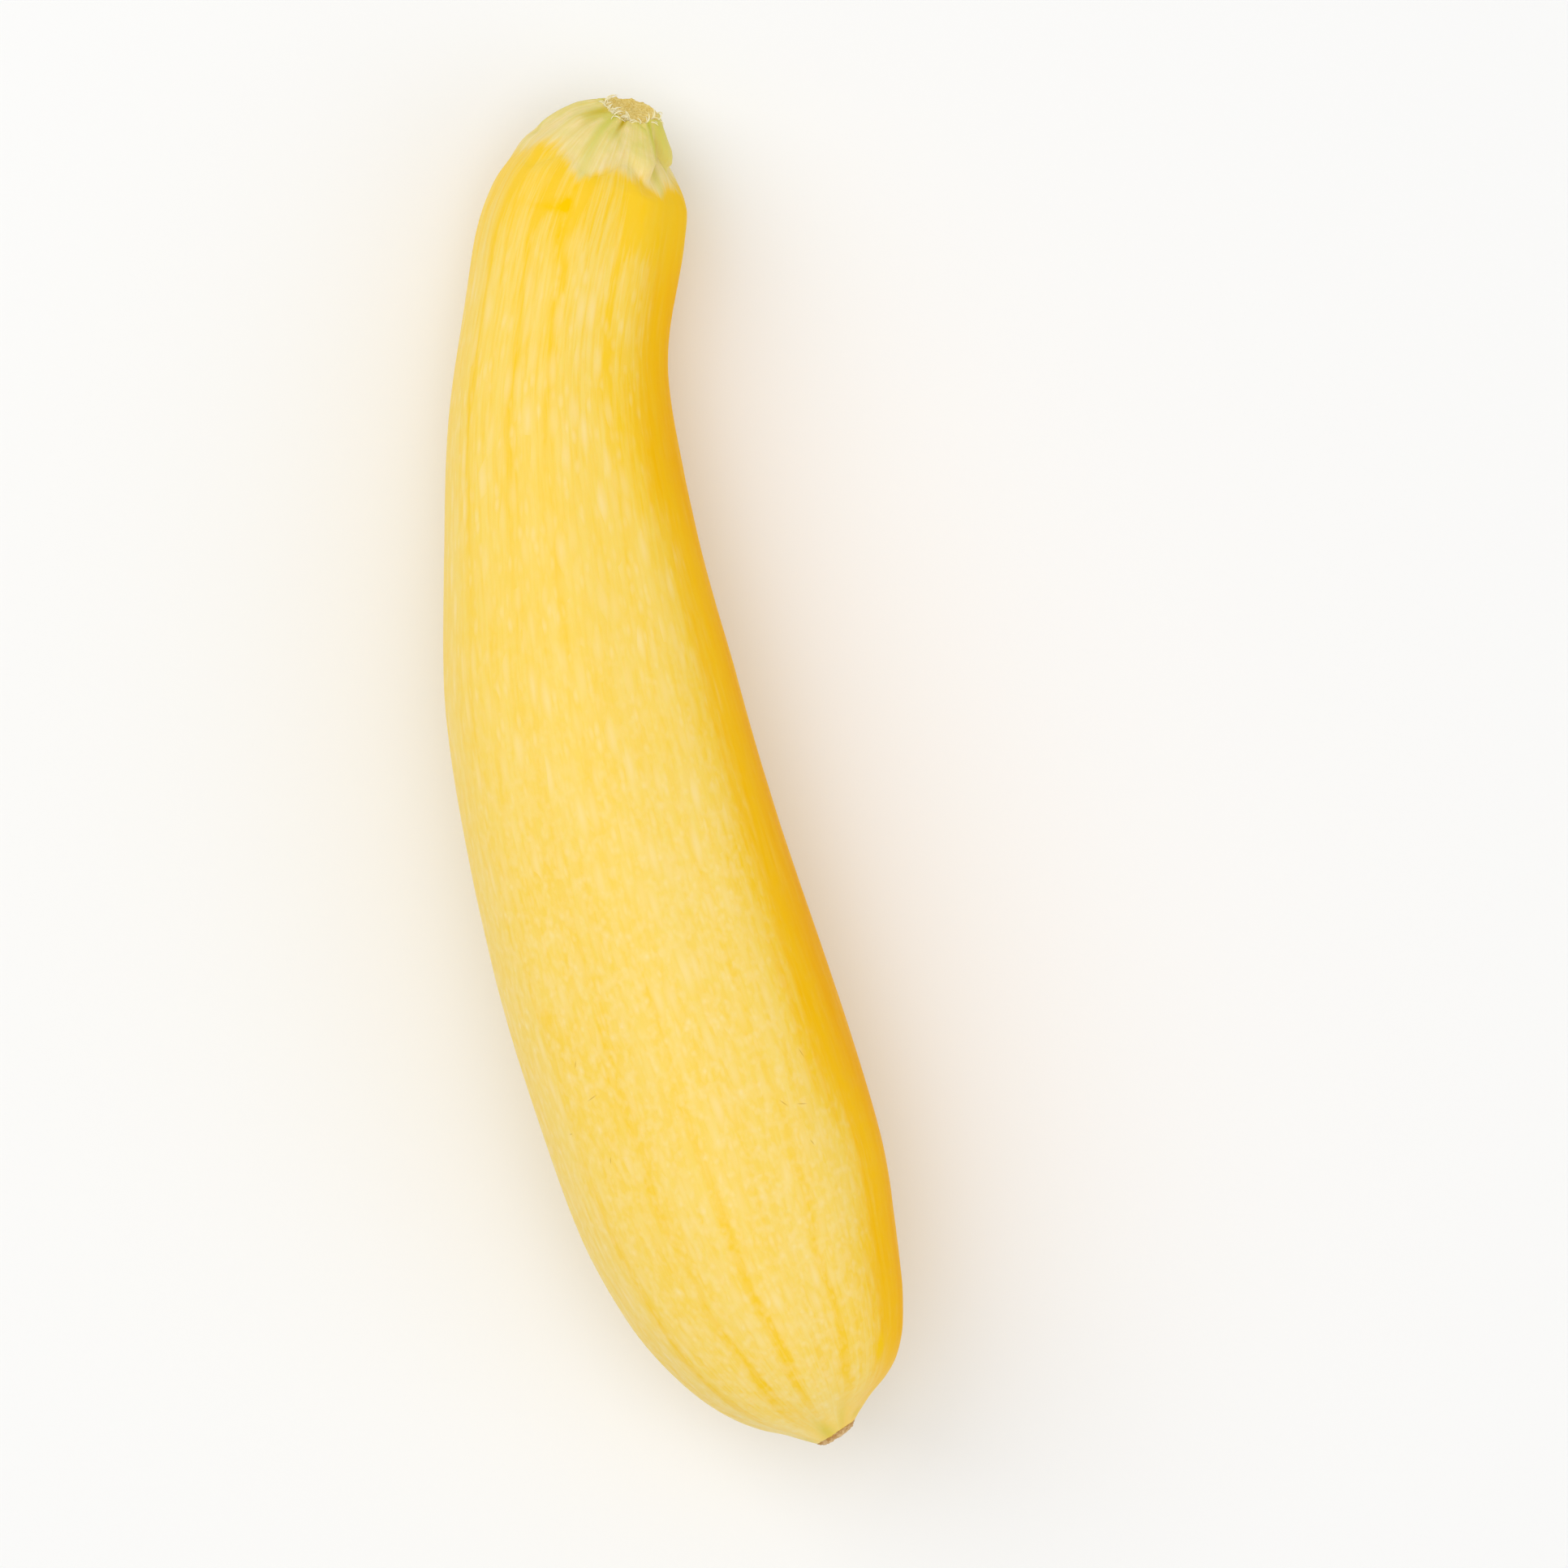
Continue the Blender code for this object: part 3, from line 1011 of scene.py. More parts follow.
@dataclass(frozen=True)
class StemSkin:
    """The skin of a cut squash stem, dry and fibrous.

    The eye sees it matt and cream, with green along its ridges and towards the cut, and olive painted shade
    in its dents.
    """

    cream: str = "#EDD380"
    pale: str = "#F7E3AC"
    green: str = "#C2C510"
    # The olive of the painted shade in the stem's dents.
    olive: str = "#C8AE10"
    roughness: float = 0.62
    fibres: Grain = Grain(Chart.MERIDIAN, (0.7, 5.0))
    raised_fibres: Grain = Grain(Chart.MERIDIAN, (0.4667, 3.3333), 4.0, 0.65)
    clouds: Grain = Grain(Chart.SKIN, (3.0, 3.0), 3.0, 0.5)
    streak_ramp: Ramp = Ramp(0.30, 0.80)
    near_cut: Ramp = Ramp(6.5, 0.5, 0.02, 0.6)
    cloud_ramp: Ramp = Ramp(0.35, 0.62)
    broken_ramp: Ramp = Ramp(0.3, 0.6, 0.75, 1.0)
    ridge_green: float = 0.88

    def colour(self, tree: Tree) -> str:
        """Add the nodes of the stem's colour, which the rind shares where it meets the stem.

        Args:
            tree: The material's tree.

        Returns:
            The name of the node that holds the colour.
        """
        fibres = self.fibres.add(tree, "stem_fibres")
        clouds = self.clouds.add(tree, "stem_clouds")
        return add_nodes(
            tree,
            ("stem_streaks", "MapRange", self.streak_ramp.settings, {"Value": fibres}),
            ("stem_ground", "Mix", COLOURS | {FIRST: linear(self.cream), SECOND: linear(self.pale)},
             {FACTOR: "stem_streaks"}),
            ("near_cut", "MapRange", self.near_cut.settings, {"Value": "to_cut.Fac"}),
            ("cloudy", "MapRange", self.cloud_ramp.settings, {"Value": clouds}),
            ("washed", "Math", MULTIPLY, {0: "near_cut", 1: "cloudy"}),
            ("crest", "Math", MULTIPLY | {1: self.ridge_green}, {0: "ridge.Fac"}),
            ("greens", "Math", LARGER, {0: "washed", 1: "crest"}),
            ("broken", "MapRange", self.broken_ramp.settings, {"Value": fibres}),
            ("green_share", "Math", MULTIPLY | CLAMPED, {0: "greens", 1: "broken"}),
            ("stem_tinted", "Mix", COLOURS | {SECOND: linear(self.green)},
             {FACTOR: "green_share", FIRST: "stem_ground"}),
            # The olive mixed in here is painted shade, laid into the stem's dents.
            ("stem_colour", "Mix", COLOURS | {SECOND: linear(self.olive)},
             {FACTOR: "stain.Fac", FIRST: "stem_tinted"}),
        )


@dataclass(frozen=True)
class WaxyRind:
    """The rind of a yellow summer squash: thin, smooth and waxy, grown and not polished.

    Yellow flesh shows through it, golden over the bundles that run its length, with pale flecks
    between them. The eye sees a satin skin, streaked on the neck and dotted on the bulb.
    """

    body: str = "#F7D667"
    pale: str = "#F9DF98"
    golden: str = "#F8CB26"
    # The flank's gold: the rind's own pigment, with painted yellow reflected light.
    deep: str = "#F9BE00"
    # Amber is painted shade and painted reflected yellow light, deepening the flank further in.
    painted_shade_amber: str = "#F2A900"
    vivid: str = "#FBC900"
    halo: str = "#F9E6A2"
    olive: str = "#D6C420"
    scratch: str = "#C08A2E"
    fields: tuple[str, ...] = (
        "meridian", "skin", "gold", "gold_strength", "band", "brushed", "dotted", "flecked", "patch",
        "olive", "halo", "ridge", "to_cut", "stain", "cream",
    )
    streaks: Grain = Grain(Chart.MERIDIAN, (1.2, 12.0), 4.0, 0.6, 0.3)
    clouds: Grain = Grain(Chart.MERIDIAN, (6.0, 16.0), 3.0, 0.55)
    brush: Grain = Grain(Chart.MERIDIAN, (0.6, 9.0), 3.0, 0.65)
    streak_weight: float = 0.85
    cloud_weight: float = 0.55
    brush_weight: float = 2.2
    golden_ramp: Ramp = Ramp(0.56, 1.26)
    mottle: Grain = Grain(Chart.SKIN, (1.1, 1.6), 2.0, 0.45)
    mottle_ramp: Ramp = Ramp(0.42, 0.72, to_high=0.6)
    dots: Cells = Cells((0.8, 1.0), 0.70, 0.42)
    long_dashes: Cells = Cells((1.4, 6.0), 0.70, 0.75)
    dashes: Cells = Cells((0.85, 2.6), 0.62, 0.60)
    flank_streaks: Grain = Grain(Chart.MERIDIAN, (1.25, 14.286), 4.0)
    flank_spots: Grain = Grain(Chart.SKIN, (1.3333, 2.857))
    flank_streak_reach: float = 5.0
    flank_spot_reach: float = 3.4
    flank_ramp: Ramp = Ramp(-0.2, 5.8, soft=True)
    flank_even: Ramp = Ramp(0.32, 0.66, 0.74, 1.0)
    # How the painted shade's amber grows with depth into the flank, in mm.
    painted_shade_ramp: Ramp = Ramp(2.0, 8.0)
    patch_ramp: Ramp = Ramp(0.06, 0.52)
    scratch_ramp: Ramp = Ramp(1.0, 0.3, to_high=0.55)
    fringe: Grain = Grain(Chart.MERIDIAN, (0.9091, 6.25), 4.0)
    fringe_reach: float = 3.4
    fringe_ramp: Ramp = Ramp(0.6, 2.8, soft=True)
    wax_grain: Grain = Grain(Chart.SKIN, (1.1111, 1.1111), 4.0, 0.55)
    wax_roughness: Ramp = Ramp(0.3, 0.7, 0.38, 0.50)
    wax_specular: Ramp = Ramp(0.0, 1.0, 0.18, 0.02)
    wax_bump: Span = (0.18, 0.12)
    fibre_bump: Span = (0.25, 0.15)
    ior: float = 1.45
    glow: float = 0.15
    glow_tint: Triple = (1.0, 0.6, 0.15)
    glow_depth: float = 1.5
    scratches: tuple[Scratch, ...] = (
        Scratch(40.4, -36.0, 0.85, 75.0),
        Scratch(41.2, -29.0, 0.75, 40.0),
        Scratch(46.2, -42.5, 0.80, 20.0),
        Scratch(49.0, 38.5, 0.95, -75.0),
        Scratch(53.5, 41.0, 0.60, -30.0),
        Scratch(41.0, 39.5, 0.55, -20.0),
        Scratch(45.5, 54.5, 0.40, 85.0),
        Scratch(35.5, -35.5, 0.50, 25.0),
    )

    def make(self, stem: StemSkin) -> bpy.types.Material:
        """Make the rind's material.

        Args:
            stem: The skin of the stem, whose colour the rind takes on along their seam.

        Returns:
            The material.
        """
        material, tree = new_material("squash_waxy_rind_and_stem", self.fields)
        colour = self._flecks(tree, self._ground(tree))
        colour = self._patches(tree, self._flank(tree, colour))
        colour = self._scratches(tree, colour)
        self._cream(tree)
        add_node(tree, "colour", "Mix", COLOURS,
                 {FACTOR: "cream_share", FIRST: colour, SECOND: stem.colour(tree)})
        self._surface(tree, stem)
        finish_material(
            tree,
            {"IOR": self.ior, "Subsurface Weight": self.glow, "Subsurface Radius": self.glow_tint,
             "Subsurface Scale": self.glow_depth * MM},
            {"Base Color": "colour", "Roughness": "roughness", "Specular IOR Level": "wax",
             "Normal": "fibre"},
        )
        return material

    def _ground(self, tree: Tree) -> str:
        """Add the streaky yellow ground, golden along the bands.

        Args:
            tree: The material's tree.

        Returns:
            The name of the node that holds the colour.
        """
        streaks = self.streaks.add(tree, "streaks")
        clouds = self.clouds.add(tree, "clouds")
        brush = self.brush.add(tree, "brush")
        return add_nodes(
            tree,
            ("clouded", "Math", MULTIPLY_ADD | {1: self.cloud_weight}, {0: clouds, 2: "band.Fac"}),
            ("streaked", "Math", MULTIPLY_ADD | {1: self.streak_weight}, {0: streaks, 2: "clouded"}),
            ("centred", "Math", MULTIPLY_ADD | {1: self.brush_weight, 2: -self.brush_weight / 2},
             {0: brush}),
            ("combed", "Math", MULTIPLY_ADD, {0: "centred", 1: "brushed.Fac", 2: "streaked"}),
            ("golden_share", "MapRange", self.golden_ramp.settings, {"Value": "combed"}),
            ("ground", "Mix", COLOURS | {FIRST: linear(self.body), SECOND: linear(self.golden)},
             {FACTOR: "golden_share"}),
        )

    def _flecks(self, tree: Tree, below: str) -> str:
        """Add pale flecks: long soft dashes, short ones, and a fine mottle, strongest on the bulb.

        Args:
            tree: The material's tree.
            below: The name of the node that holds the colour so far.

        Returns:
            The name of the node that holds the new colour.
        """
        mottle = self.mottle.add(tree, "mottle")
        dots = self.dots.add(tree, "dot")
        dashes = self.dashes.add(tree, "dash")
        long_dashes = self.long_dashes.add(tree, "long_dash")
        return add_nodes(
            tree,
            ("speckle", "MapRange", self.mottle_ramp.settings, {"Value": mottle}),
            ("spots", "Math", ADD, {0: "speckle", 1: dots}),
            ("bulb_spots", "Math", MULTIPLY | CLAMPED, {0: "spots", 1: "dotted.Fac"}),
            ("with_long", "Math", LARGER, {0: "bulb_spots", 1: long_dashes}),
            ("with_short", "Math", LARGER, {0: "with_long", 1: dashes}),
            ("fleck_share", "Math", MULTIPLY, {0: "with_short", 1: "flecked.Fac"}),
            ("with_flecks", "Mix", COLOURS | {SECOND: linear(self.pale)},
             {FACTOR: "fleck_share", FIRST: below}),
        )

    def _flank(self, tree: Tree, below: str) -> str:
        """Add the deep golden flank, with a streaky, spotted edge: the rind's own gold, with painted
        reflected yellow light and painted shade.

        Args:
            tree: The material's tree.
            below: The name of the node that holds the colour so far.

        Returns:
            The name of the node that holds the new colour.
        """
        streaks = self.flank_streaks.add(tree, "flank_streaks")
        spots = self.flank_spots.add(tree, "flank_spots")
        return add_nodes(
            tree,
            ("streaky", "Math", MULTIPLY_ADD | {1: self.flank_streak_reach},
             {0: streaks, 2: "gold.Fac"}),
            ("ragged", "Math", MULTIPLY_ADD | {1: self.flank_spot_reach}, {0: spots, 2: "streaky"}),
            ("flank_share", "MapRange", self.flank_ramp.settings, {"Value": "ragged"}),
            ("even", "MapRange", self.flank_even.settings, {"Value": streaks}),
            ("depth", "Math", MULTIPLY, {0: "gold_strength.Fac", 1: "even"}),
            ("gilt", "Math", MULTIPLY, {0: "flank_share", 1: "depth"}),
            # Deeper into the flank the gold turns to amber: painted shade and painted reflected light.
            ("painted_shade_share", "MapRange", self.painted_shade_ramp.settings, {"Value": "gold.Fac"}),
            ("flank_gold", "Mix", COLOURS | {FIRST: linear(self.deep), SECOND: linear(self.painted_shade_amber)},
             {FACTOR: "painted_shade_share"}),
            ("with_flank", "Mix", COLOURS, {FACTOR: "gilt", FIRST: below, SECOND: "flank_gold"}),
        )

    def _patches(self, tree: Tree, below: str) -> str:
        """Add the vivid blotches, the paler halo round the scar and the olive patches by it.

        Args:
            tree: The material's tree.
            below: The name of the node that holds the colour so far.

        Returns:
            The name of the node that holds the new colour.
        """
        return add_nodes(
            tree,
            ("rough_patch", "Math", MULTIPLY, {0: "patch.Fac", 1: "flank_spots"}),
            ("patch_share", "MapRange", self.patch_ramp.settings, {"Value": "rough_patch"}),
            ("with_patches", "Mix", COLOURS | {SECOND: linear(self.vivid)},
             {FACTOR: "patch_share", FIRST: below}),
            ("with_halo", "Mix", COLOURS | {SECOND: linear(self.halo)},
             {FACTOR: "halo.Fac", FIRST: "with_patches"}),
            ("with_olive", "Mix", COLOURS | {SECOND: linear(self.olive)},
             {FACTOR: "olive.Fac", FIRST: "with_halo"}),
        )

    def _scratches(self, tree: Tree, below: str) -> str:
        """Add the healed hairline scratches.

        Args:
            tree: The material's tree.
            below: The name of the node that holds the colour so far.

        Returns:
            The name of the node that holds the new colour.
        """
        for number, scratch in enumerate(self.scratches):
            theta = math.radians(scratch.degrees)
            girth = FORM.girth_of(scratch.s)
            middle = (girth * math.sin(theta), girth * math.cos(theta), scratch.s)
            turn = Euler((math.radians(scratch.lean), 0.0, math.pi / 2 - theta), "XYZ")
            chart, away, line, scratched = (
                f"scratch_{number}_{part}" for part in ("map", "away", "line", "colour")
            )
            placed = {"vector_type": "TEXTURE", "Location": middle, "Rotation": turn,
                      "Scale": (1.0, scratch.width, scratch.length)}
            below = add_nodes(
                tree,
                (chart, "Mapping", placed, {"Vector": Chart.SKIN.value}),
                (away, "VectorMath", {"operation": "LENGTH"}, {0: chart}),
                (line, "MapRange", self.scratch_ramp.settings, {"Value": away}),
                (scratched, "Mix", COLOURS | {SECOND: linear(self.scratch)}, {FACTOR: line, FIRST: below}),
            )
        return below

    def _cream(self, tree: Tree) -> None:
        """Find where the stem's cream takes over from the rind's yellow, with a fringed edge.

        Args:
            tree: The material's tree.
        """
        fringe = self.fringe.add(tree, "fringe")
        add_node(tree, "fringed", "Math", MULTIPLY_ADD | {1: self.fringe_reach},
                 {0: fringe, 2: "cream.Fac"})
        add_node(tree, "cream_share", "MapRange", self.fringe_ramp.settings, {"Value": "fringed"})

    def _surface(self, tree: Tree, stem: StemSkin) -> None:
        """Add the satin wax over flesh that light enters, and the stem's dry side without gloss.

        Args:
            tree: The material's tree.
            stem: The skin of the stem.
        """
        grain = self.wax_grain.add(tree, "wax_grain")
        raised = stem.raised_fibres.add(tree, "raised_fibres")
        wax_strength, wax_depth = self.wax_bump
        fibre_strength, fibre_depth = self.fibre_bump
        add_nodes(
            tree,
            ("gloss", "MapRange", self.wax_roughness.settings, {"Value": grain}),
            ("roughness", "Mix", {"data_type": "FLOAT", 3: stem.roughness}, {0: "cream_share", 2: "gloss"}),
            ("matt", "Math", LARGER, {0: "flank_share", 1: "patch_share"}),
            ("wax", "MapRange", self.wax_specular.settings, {"Value": "matt"}),
            ("wax_relief", "Bump", {"Strength": wax_strength, "Distance": wax_depth * MM},
             {"Height": grain}),
            ("fibre_height", "Math", MULTIPLY, {0: raised, 1: "cream_share"}),
            ("fibre", "Bump", {"Strength": fibre_strength, "Distance": fibre_depth * MM},
             {"Height": "fibre_height", "Normal": "wax_relief"}),
        )


@dataclass(frozen=True)
class DryTissue:
    """Dry plant tissue: two colours broken up by its grain, rough and without gloss."""

    name: str
    low: str
    high: str
    grain: Grain
    spread: Ramp
    roughness: float
    fields: tuple[str, ...] = ()
    bump: Span = (0.0, 0.0)
    bump_inward: bool = False
    glow: float = 0.0
    glow_tint: Triple = (1.0, 0.9, 0.5)
    glow_depth: float = 0.3

    def make(self) -> bpy.types.Material:
        """Make the tissue's material.

        Returns:
            The material.
        """
        material, tree = new_material(self.name, self.fields)
        grain = self.grain.add(tree, "grain")
        strength, depth = self.bump
        add_nodes(
            tree,
            ("share", "MapRange", self.spread.settings, {"Value": self._broken(tree, grain)}),
            ("colour", "Mix", COLOURS | {FIRST: linear(self.low), SECOND: linear(self.high)},
             {FACTOR: "share"}),
            ("relief", "Bump", {"Strength": strength, "Distance": depth * MM, "invert": self.bump_inward},
             {"Height": grain}),
        )
        finish_material(
            tree,
            {"Roughness": self.roughness, "Subsurface Weight": self.glow,
             "Subsurface Radius": self.glow_tint, "Subsurface Scale": self.glow_depth * MM},
            {"Base Color": "colour", "Normal": "relief"},
        )
        return material

    def _broken(self, tree: Tree, grain: str) -> str:
        """The node that spreads the two colours: the grain as it is."""
        return grain


@dataclass(frozen=True)
class ScarCork(DryTissue):
    """Dry cork that closes the place where the blossom fell: tan, grainy, browner at its rim."""

    name: str = "squash_scar_cork"
    low: str = "#E8C893"
    high: str = "#B98640"
    grain: Grain = Grain(Chart.OBJECT, (0.5, 0.5), 5.0, 0.75)
    spread: Ramp = Ramp(0.44, 0.74)
    roughness: float = 0.85
    fields: tuple[str, ...] = ("cork_rim",)
    bump: Span = (0.5, 0.15)
    bump_inward: bool = True
    rim_browning: float = 0.22

    def _broken(self, tree: Tree, grain: str) -> str:
        """Brown the cork towards its rim.

        Args:
            tree: The material's tree.
            grain: The name of the grain's node.

        Returns:
            The name of the node that spreads the two colours.
        """
        add_node(tree, "browned", "Math", MULTIPLY_ADD | {1: self.rim_browning},
                 {0: "cork_rim.Fac", 2: grain})
        return "browned"


@dataclass(frozen=True)
class CutPith(DryTissue):
    """Pith that a knife cut through: straw-coloured fibre ends that the eye sees dry and rough."""

    name: str = "squash_cut_pith"
    low: str = "#DDBB55"
    high: str = "#F8E08C"
    grain: Grain = Grain(Chart.OBJECT, (0.35, 0.35), 4.0, 0.7)
    spread: Ramp = Ramp(0.38, 0.62)
    roughness: float = 0.9
    bump: Span = (0.7, 0.25)


@dataclass(frozen=True)
class DryFibre(DryTissue):
    """Shreds of stem fibre that the knife left standing: pale, dry and a little translucent."""

    name: str = "squash_dry_fibre"
    low: str = "#EBDB9C"
    high: str = "#FBF4D8"
    grain: Grain = Grain(Chart.OBJECT, (0.8, 0.8), 3.0, 0.5)
    spread: Ramp = Ramp(0.0, 1.0)
    roughness: float = 0.7
    glow: float = 0.3


@dataclass
class SquashFruit:
    """The whole fruit: bulb, bent neck, low ribs, and the corky scar where the blossom fell."""

    name: str = "squash_fruit"
    sides: int = 28
    levels: int = 3
    finest_step: float = 1.0
    coarsest_step: float = 6.4
    step_growth: float = 0.22
    past_seam: float = 1.4
    tuck_slope: float = 0.55
    tuck_start: float = 0.25
    scar_rings: tuple[Span, ...] = (
        (2.74, -0.10), (2.50, -0.22), (2.05, -0.26), (1.40, -0.16), (0.70, 0.02),
    )
    seam_rings: tuple[Span, ...] = ((0.75, 0.8), (0.4, 0.5))
    dents: tuple[Dent, ...] = (
        Dent(22.0, 5.0, 1.6, 0.8, 0.10),
        Dent(64.0, -20.0, 6.0, 4.0, 0.12),
        Dent(96.0, 30.0, 7.0, 4.0, 0.10),
        Dent(58.0, 150.0, 8.0, 5.0, 0.18),
        Dent(121.0, -140.0, 6.0, 4.0, 0.14),
    )
    scar_tilt: float = 0.5
    scar_shift: float = 0.25
    scar_reach: float = 6.0
    cork_height: float = 0.22
    cork_grain: float = 0.6
    rim_raggedness: float = 0.22
    rim_grain: float = 0.9
    rim_from: float = 1.6
    rim_to: float = 2.8
    cork_weight: float = 0.30

    def build(self) -> bpy.types.Object:
        """Model the fruit from the scar to the bed under the stem.

        Returns:
            The finished piece.
        """
        stations = self._stations()
        shell = RingShell(self.name, self.sides, 0.0, FORM.girth_of(0.0))
        for s in stations[1:]:
            shell.draw_to(s, FORM.girth_of(s))
        rim = shell.radius
        shell.close_with([(share * rim, rise) for share, rise in self.seam_rings], "bed")
        shell.select_ring(0.0)
        shell.close_with(list(self.scar_rings), "scar_cork")
        piece = shell.subdivide(self.levels)
        self._settle(piece)
        return piece

    def _stations(self) -> list[float]:
        """Space the rings along the spine: close at both ends, wide in the middle.

        Returns:
            The rings' places in mm from the scar.
        """
        end = FORM.seam + self.past_seam
        stations = [0.0]
        while stations[-1] < end:
            s = stations[-1]
            step = self.finest_step + self.step_growth * min(s, end - s)
            stations.append(s + min(self.coarsest_step, step))
        stations[-1] = end
        return stations

    def _settle(self, piece: bpy.types.Object) -> None:
        """Draw each point out to the true skin, with ribs, groove, dents and unevenness.

        Args:
            piece: The smoothed shell.
        """
        points = points_of(piece)
        scar = weights_of(piece, "scar_cork")[:, None]
        bed = weights_of(piece, "bed")[:, None]
        at = FORM.locate(points)
        theta = at.theta
        s = at.s + (FORM.seam_at(theta) - FORM.seam) * fade(FORM.seam - at.s, FORM.seam_reach)
        girth = FORM.girth_at(s)
        past = s - FORM.seam_at(theta) - self.tuck_start
        radius = girth + FORM.rib(s, theta) - FORM.groove(s, theta)
        radius -= self.tuck_slope * np.maximum(past, 0.0)
        radius += FORM.unevenness(s, theta)
        for dent in self.dents:
            radius -= dent.depth * dent.share_at(s, theta, girth)
        skin = FORM.point(s, theta, radius)
        settled = skin * (1.0 - scar) + (points + self._cork_relief(points, at)) * scar
        settled = settled * (1.0 - bed) + points * bed
        along, _, _ = FORM.directions(at.s)
        across = np.clip(at.radius * np.sin(theta) / FORM.girth_of(0.0), -1.0, 1.0)
        lean = (self.scar_shift - self.scar_tilt * across) * fade(at.s, self.scar_reach)
        move_points(piece, settled + along * lean[:, None])
        # The fruit's dents get no painted shade.
        PATTERN.paint(piece, s, theta, np.zeros(len(s)))
        rim = (at.radius - self.rim_from) / (self.rim_to - self.rim_from)
        write_field(piece, "cork_rim", np.clip(rim, 0.0, 1.0))

    def _cork_relief(self, points: np.ndarray, at: Places) -> np.ndarray:
        """Roughen the face of the scar and its rim.

        Args:
            points: The shell's points.
            at: Their places on the squash.

        Returns:
            How each point moves, in mm.
        """
        near = at.s < self.scar_reach
        rough = np.zeros(len(points))
        rough[near] = self.cork_height * ripple(points[near], (self.cork_grain,) * 3, 3)
        ragged = np.zeros(len(points))
        ragged[near] = self.rim_raggedness * ripple(points[near] + 20.0, (self.rim_grain,) * 3, 2)
        along, _, _ = FORM.directions(at.s)
        return along * rough[:, None] + FORM.outward(at.s, at.theta) * ragged[:, None]


@dataclass
class StemStub:
    """The short stub of the stem: a flared, ridged foot that narrows to an oblique knife cut."""

    name: str = "squash_stem_stub"
    sides: int = 40
    levels: int = 3
    below_seam: float = 1.3
    tuck_slope: float = 0.55
    proud: float = 0.03
    shares: tuple[float, ...] = (
        0.0, 0.06, 0.14, 0.24, 0.36, 0.48, 0.60, 0.71, 0.81, 0.89, 0.95, 0.985, 1.0,
    )
    cut_rings: tuple[Span, ...] = (
        (0.93, -0.06), (0.80, -0.18), (0.60, -0.30), (0.35, -0.35), (0.12, -0.30),
    )
    pith_grain: float = 0.6
    pith_height: float = 0.14
    cut_spread: float = 4.0
    cut_weight: float = 0.2
    bed_rings: tuple[Span, ...] = ((0.7, 0.3), (0.35, 0.3))
    own_skin_start: float = 0.3
    fibre_height: float = 0.07
    fibre_size: Triple = (1.0, 1.0, 7.0)
    lump_height: float = 0.10
    lump_size: Triple = (3.0, 3.0, 4.0)
    rim_nicks: float = 0.28
    nick_size: Triple = (1.1, 1.1, 50.0)
    nick_reach: float = 0.12
    # The last number of a stem dent is how much olive painted shade darkens its hollow.
    dents: tuple[Dent, ...] = (
        Dent(169.0, 47.0, 1.6, 0.65, 0.34, 0.7),
        Dent(167.4, 38.0, 1.4, 0.6, 0.18, 0.3),
        Dent(169.0, -1.0, 1.3, 0.34, 0.60, 1.0),
        Dent(163.6, 88.0, 0.7, 1.2, 0.40, 0.1),
        Dent(168.6, -68.0, 1.3, 0.7, 0.30, 0.2),
        Dent(168.8, 150.0, 1.4, 0.7, 0.4, 0.5),
        Dent(168.8, -130.0, 1.4, 0.7, 0.4, 0.5),
    )

    def build(self) -> bpy.types.Object:
        """Model the stub from its bed in the fruit to its cut.

        Returns:
            The finished piece.
        """
        start = FORM.seam - self.below_seam
        inside = FORM.girth_of(start)
        shell = RingShell(self.name, self.sides, start, inside)
        for share in self.shares:
            s = between(FORM.seam, FORM.length, share)
            shell.draw_to(s, FORM.girth_of(s))
        rim = shell.radius
        shell.close_with([(rim * share, 0.0) for share, _ in self.cut_rings], "cut_face")
        shell.select_ring(start)
        shell.close_with([(inside * share, rise) for share, rise in self.bed_rings], "hidden_bed")
        piece = shell.subdivide(self.levels)
        self._settle(piece)
        return piece

    def _settle(self, piece: bpy.types.Object) -> None:
        """Draw each point out to the true skin, with ridges, dents, fibres and the rough cut.

        Args:
            piece: The smoothed shell.
        """
        points = points_of(piece)
        cut = weights_of(piece, "cut_face")
        bed = weights_of(piece, "hidden_bed")[:, None]
        at = FORM.locate(points)
        theta = at.theta
        share = np.clip((at.s - FORM.seam) / (FORM.length - FORM.seam), -1.0, 1.0)
        share = np.where(cut > 0.5, 1.0, share)
        foot = FORM.seam_at(theta)
        s = between(foot, FORM.cut_at(theta), share)
        level = between(foot, FORM.length, share)
        girth = FORM.girth_at(level)
        chart = FORM.chart(s, theta)
        ridged = 1.0 - fade(share, FORM.stem_ridge_start)
        ridge = between(FORM.rib(foot, theta), FORM.stem_ridge(theta), ridged)
        ridge *= 1.0 - FORM.cut_rib_fade * np.clip(share, 0.0, 1.0)
        radius = girth - FORM.groove(level, theta) + ridge
        radius += self.proud - self.tuck_slope * np.maximum(foot - s, 0.0)
        radius += FORM.unevenness(s, theta)
        own = self.fibre_height * ripple(chart, self.fibre_size, 3)
        own += self.lump_height * ripple(chart + 30.0, self.lump_size)
        radius += own * (1.0 - fade(share, self.own_skin_start))
        # Painted shade for the dents' hollows, read by the stem's olive.
        stain = np.zeros(len(s))
        for dent in self.dents:
            reached = dent.share_at(s, theta, girth)
            radius -= dent.depth * reached
            stain = np.maximum(stain, dent.stain * reached)
        nicks = self.rim_nicks * ripple(chart + 60.0, self.nick_size, 3)
        s = s + nicks * fade(1.0 - share, self.nick_reach)
        settled = self._with_cut_face(FORM.point(s, theta, radius), at, cut)
        move_points(piece, settled * (1.0 - bed) + points * bed)
        PATTERN.paint(piece, s, theta, stain)

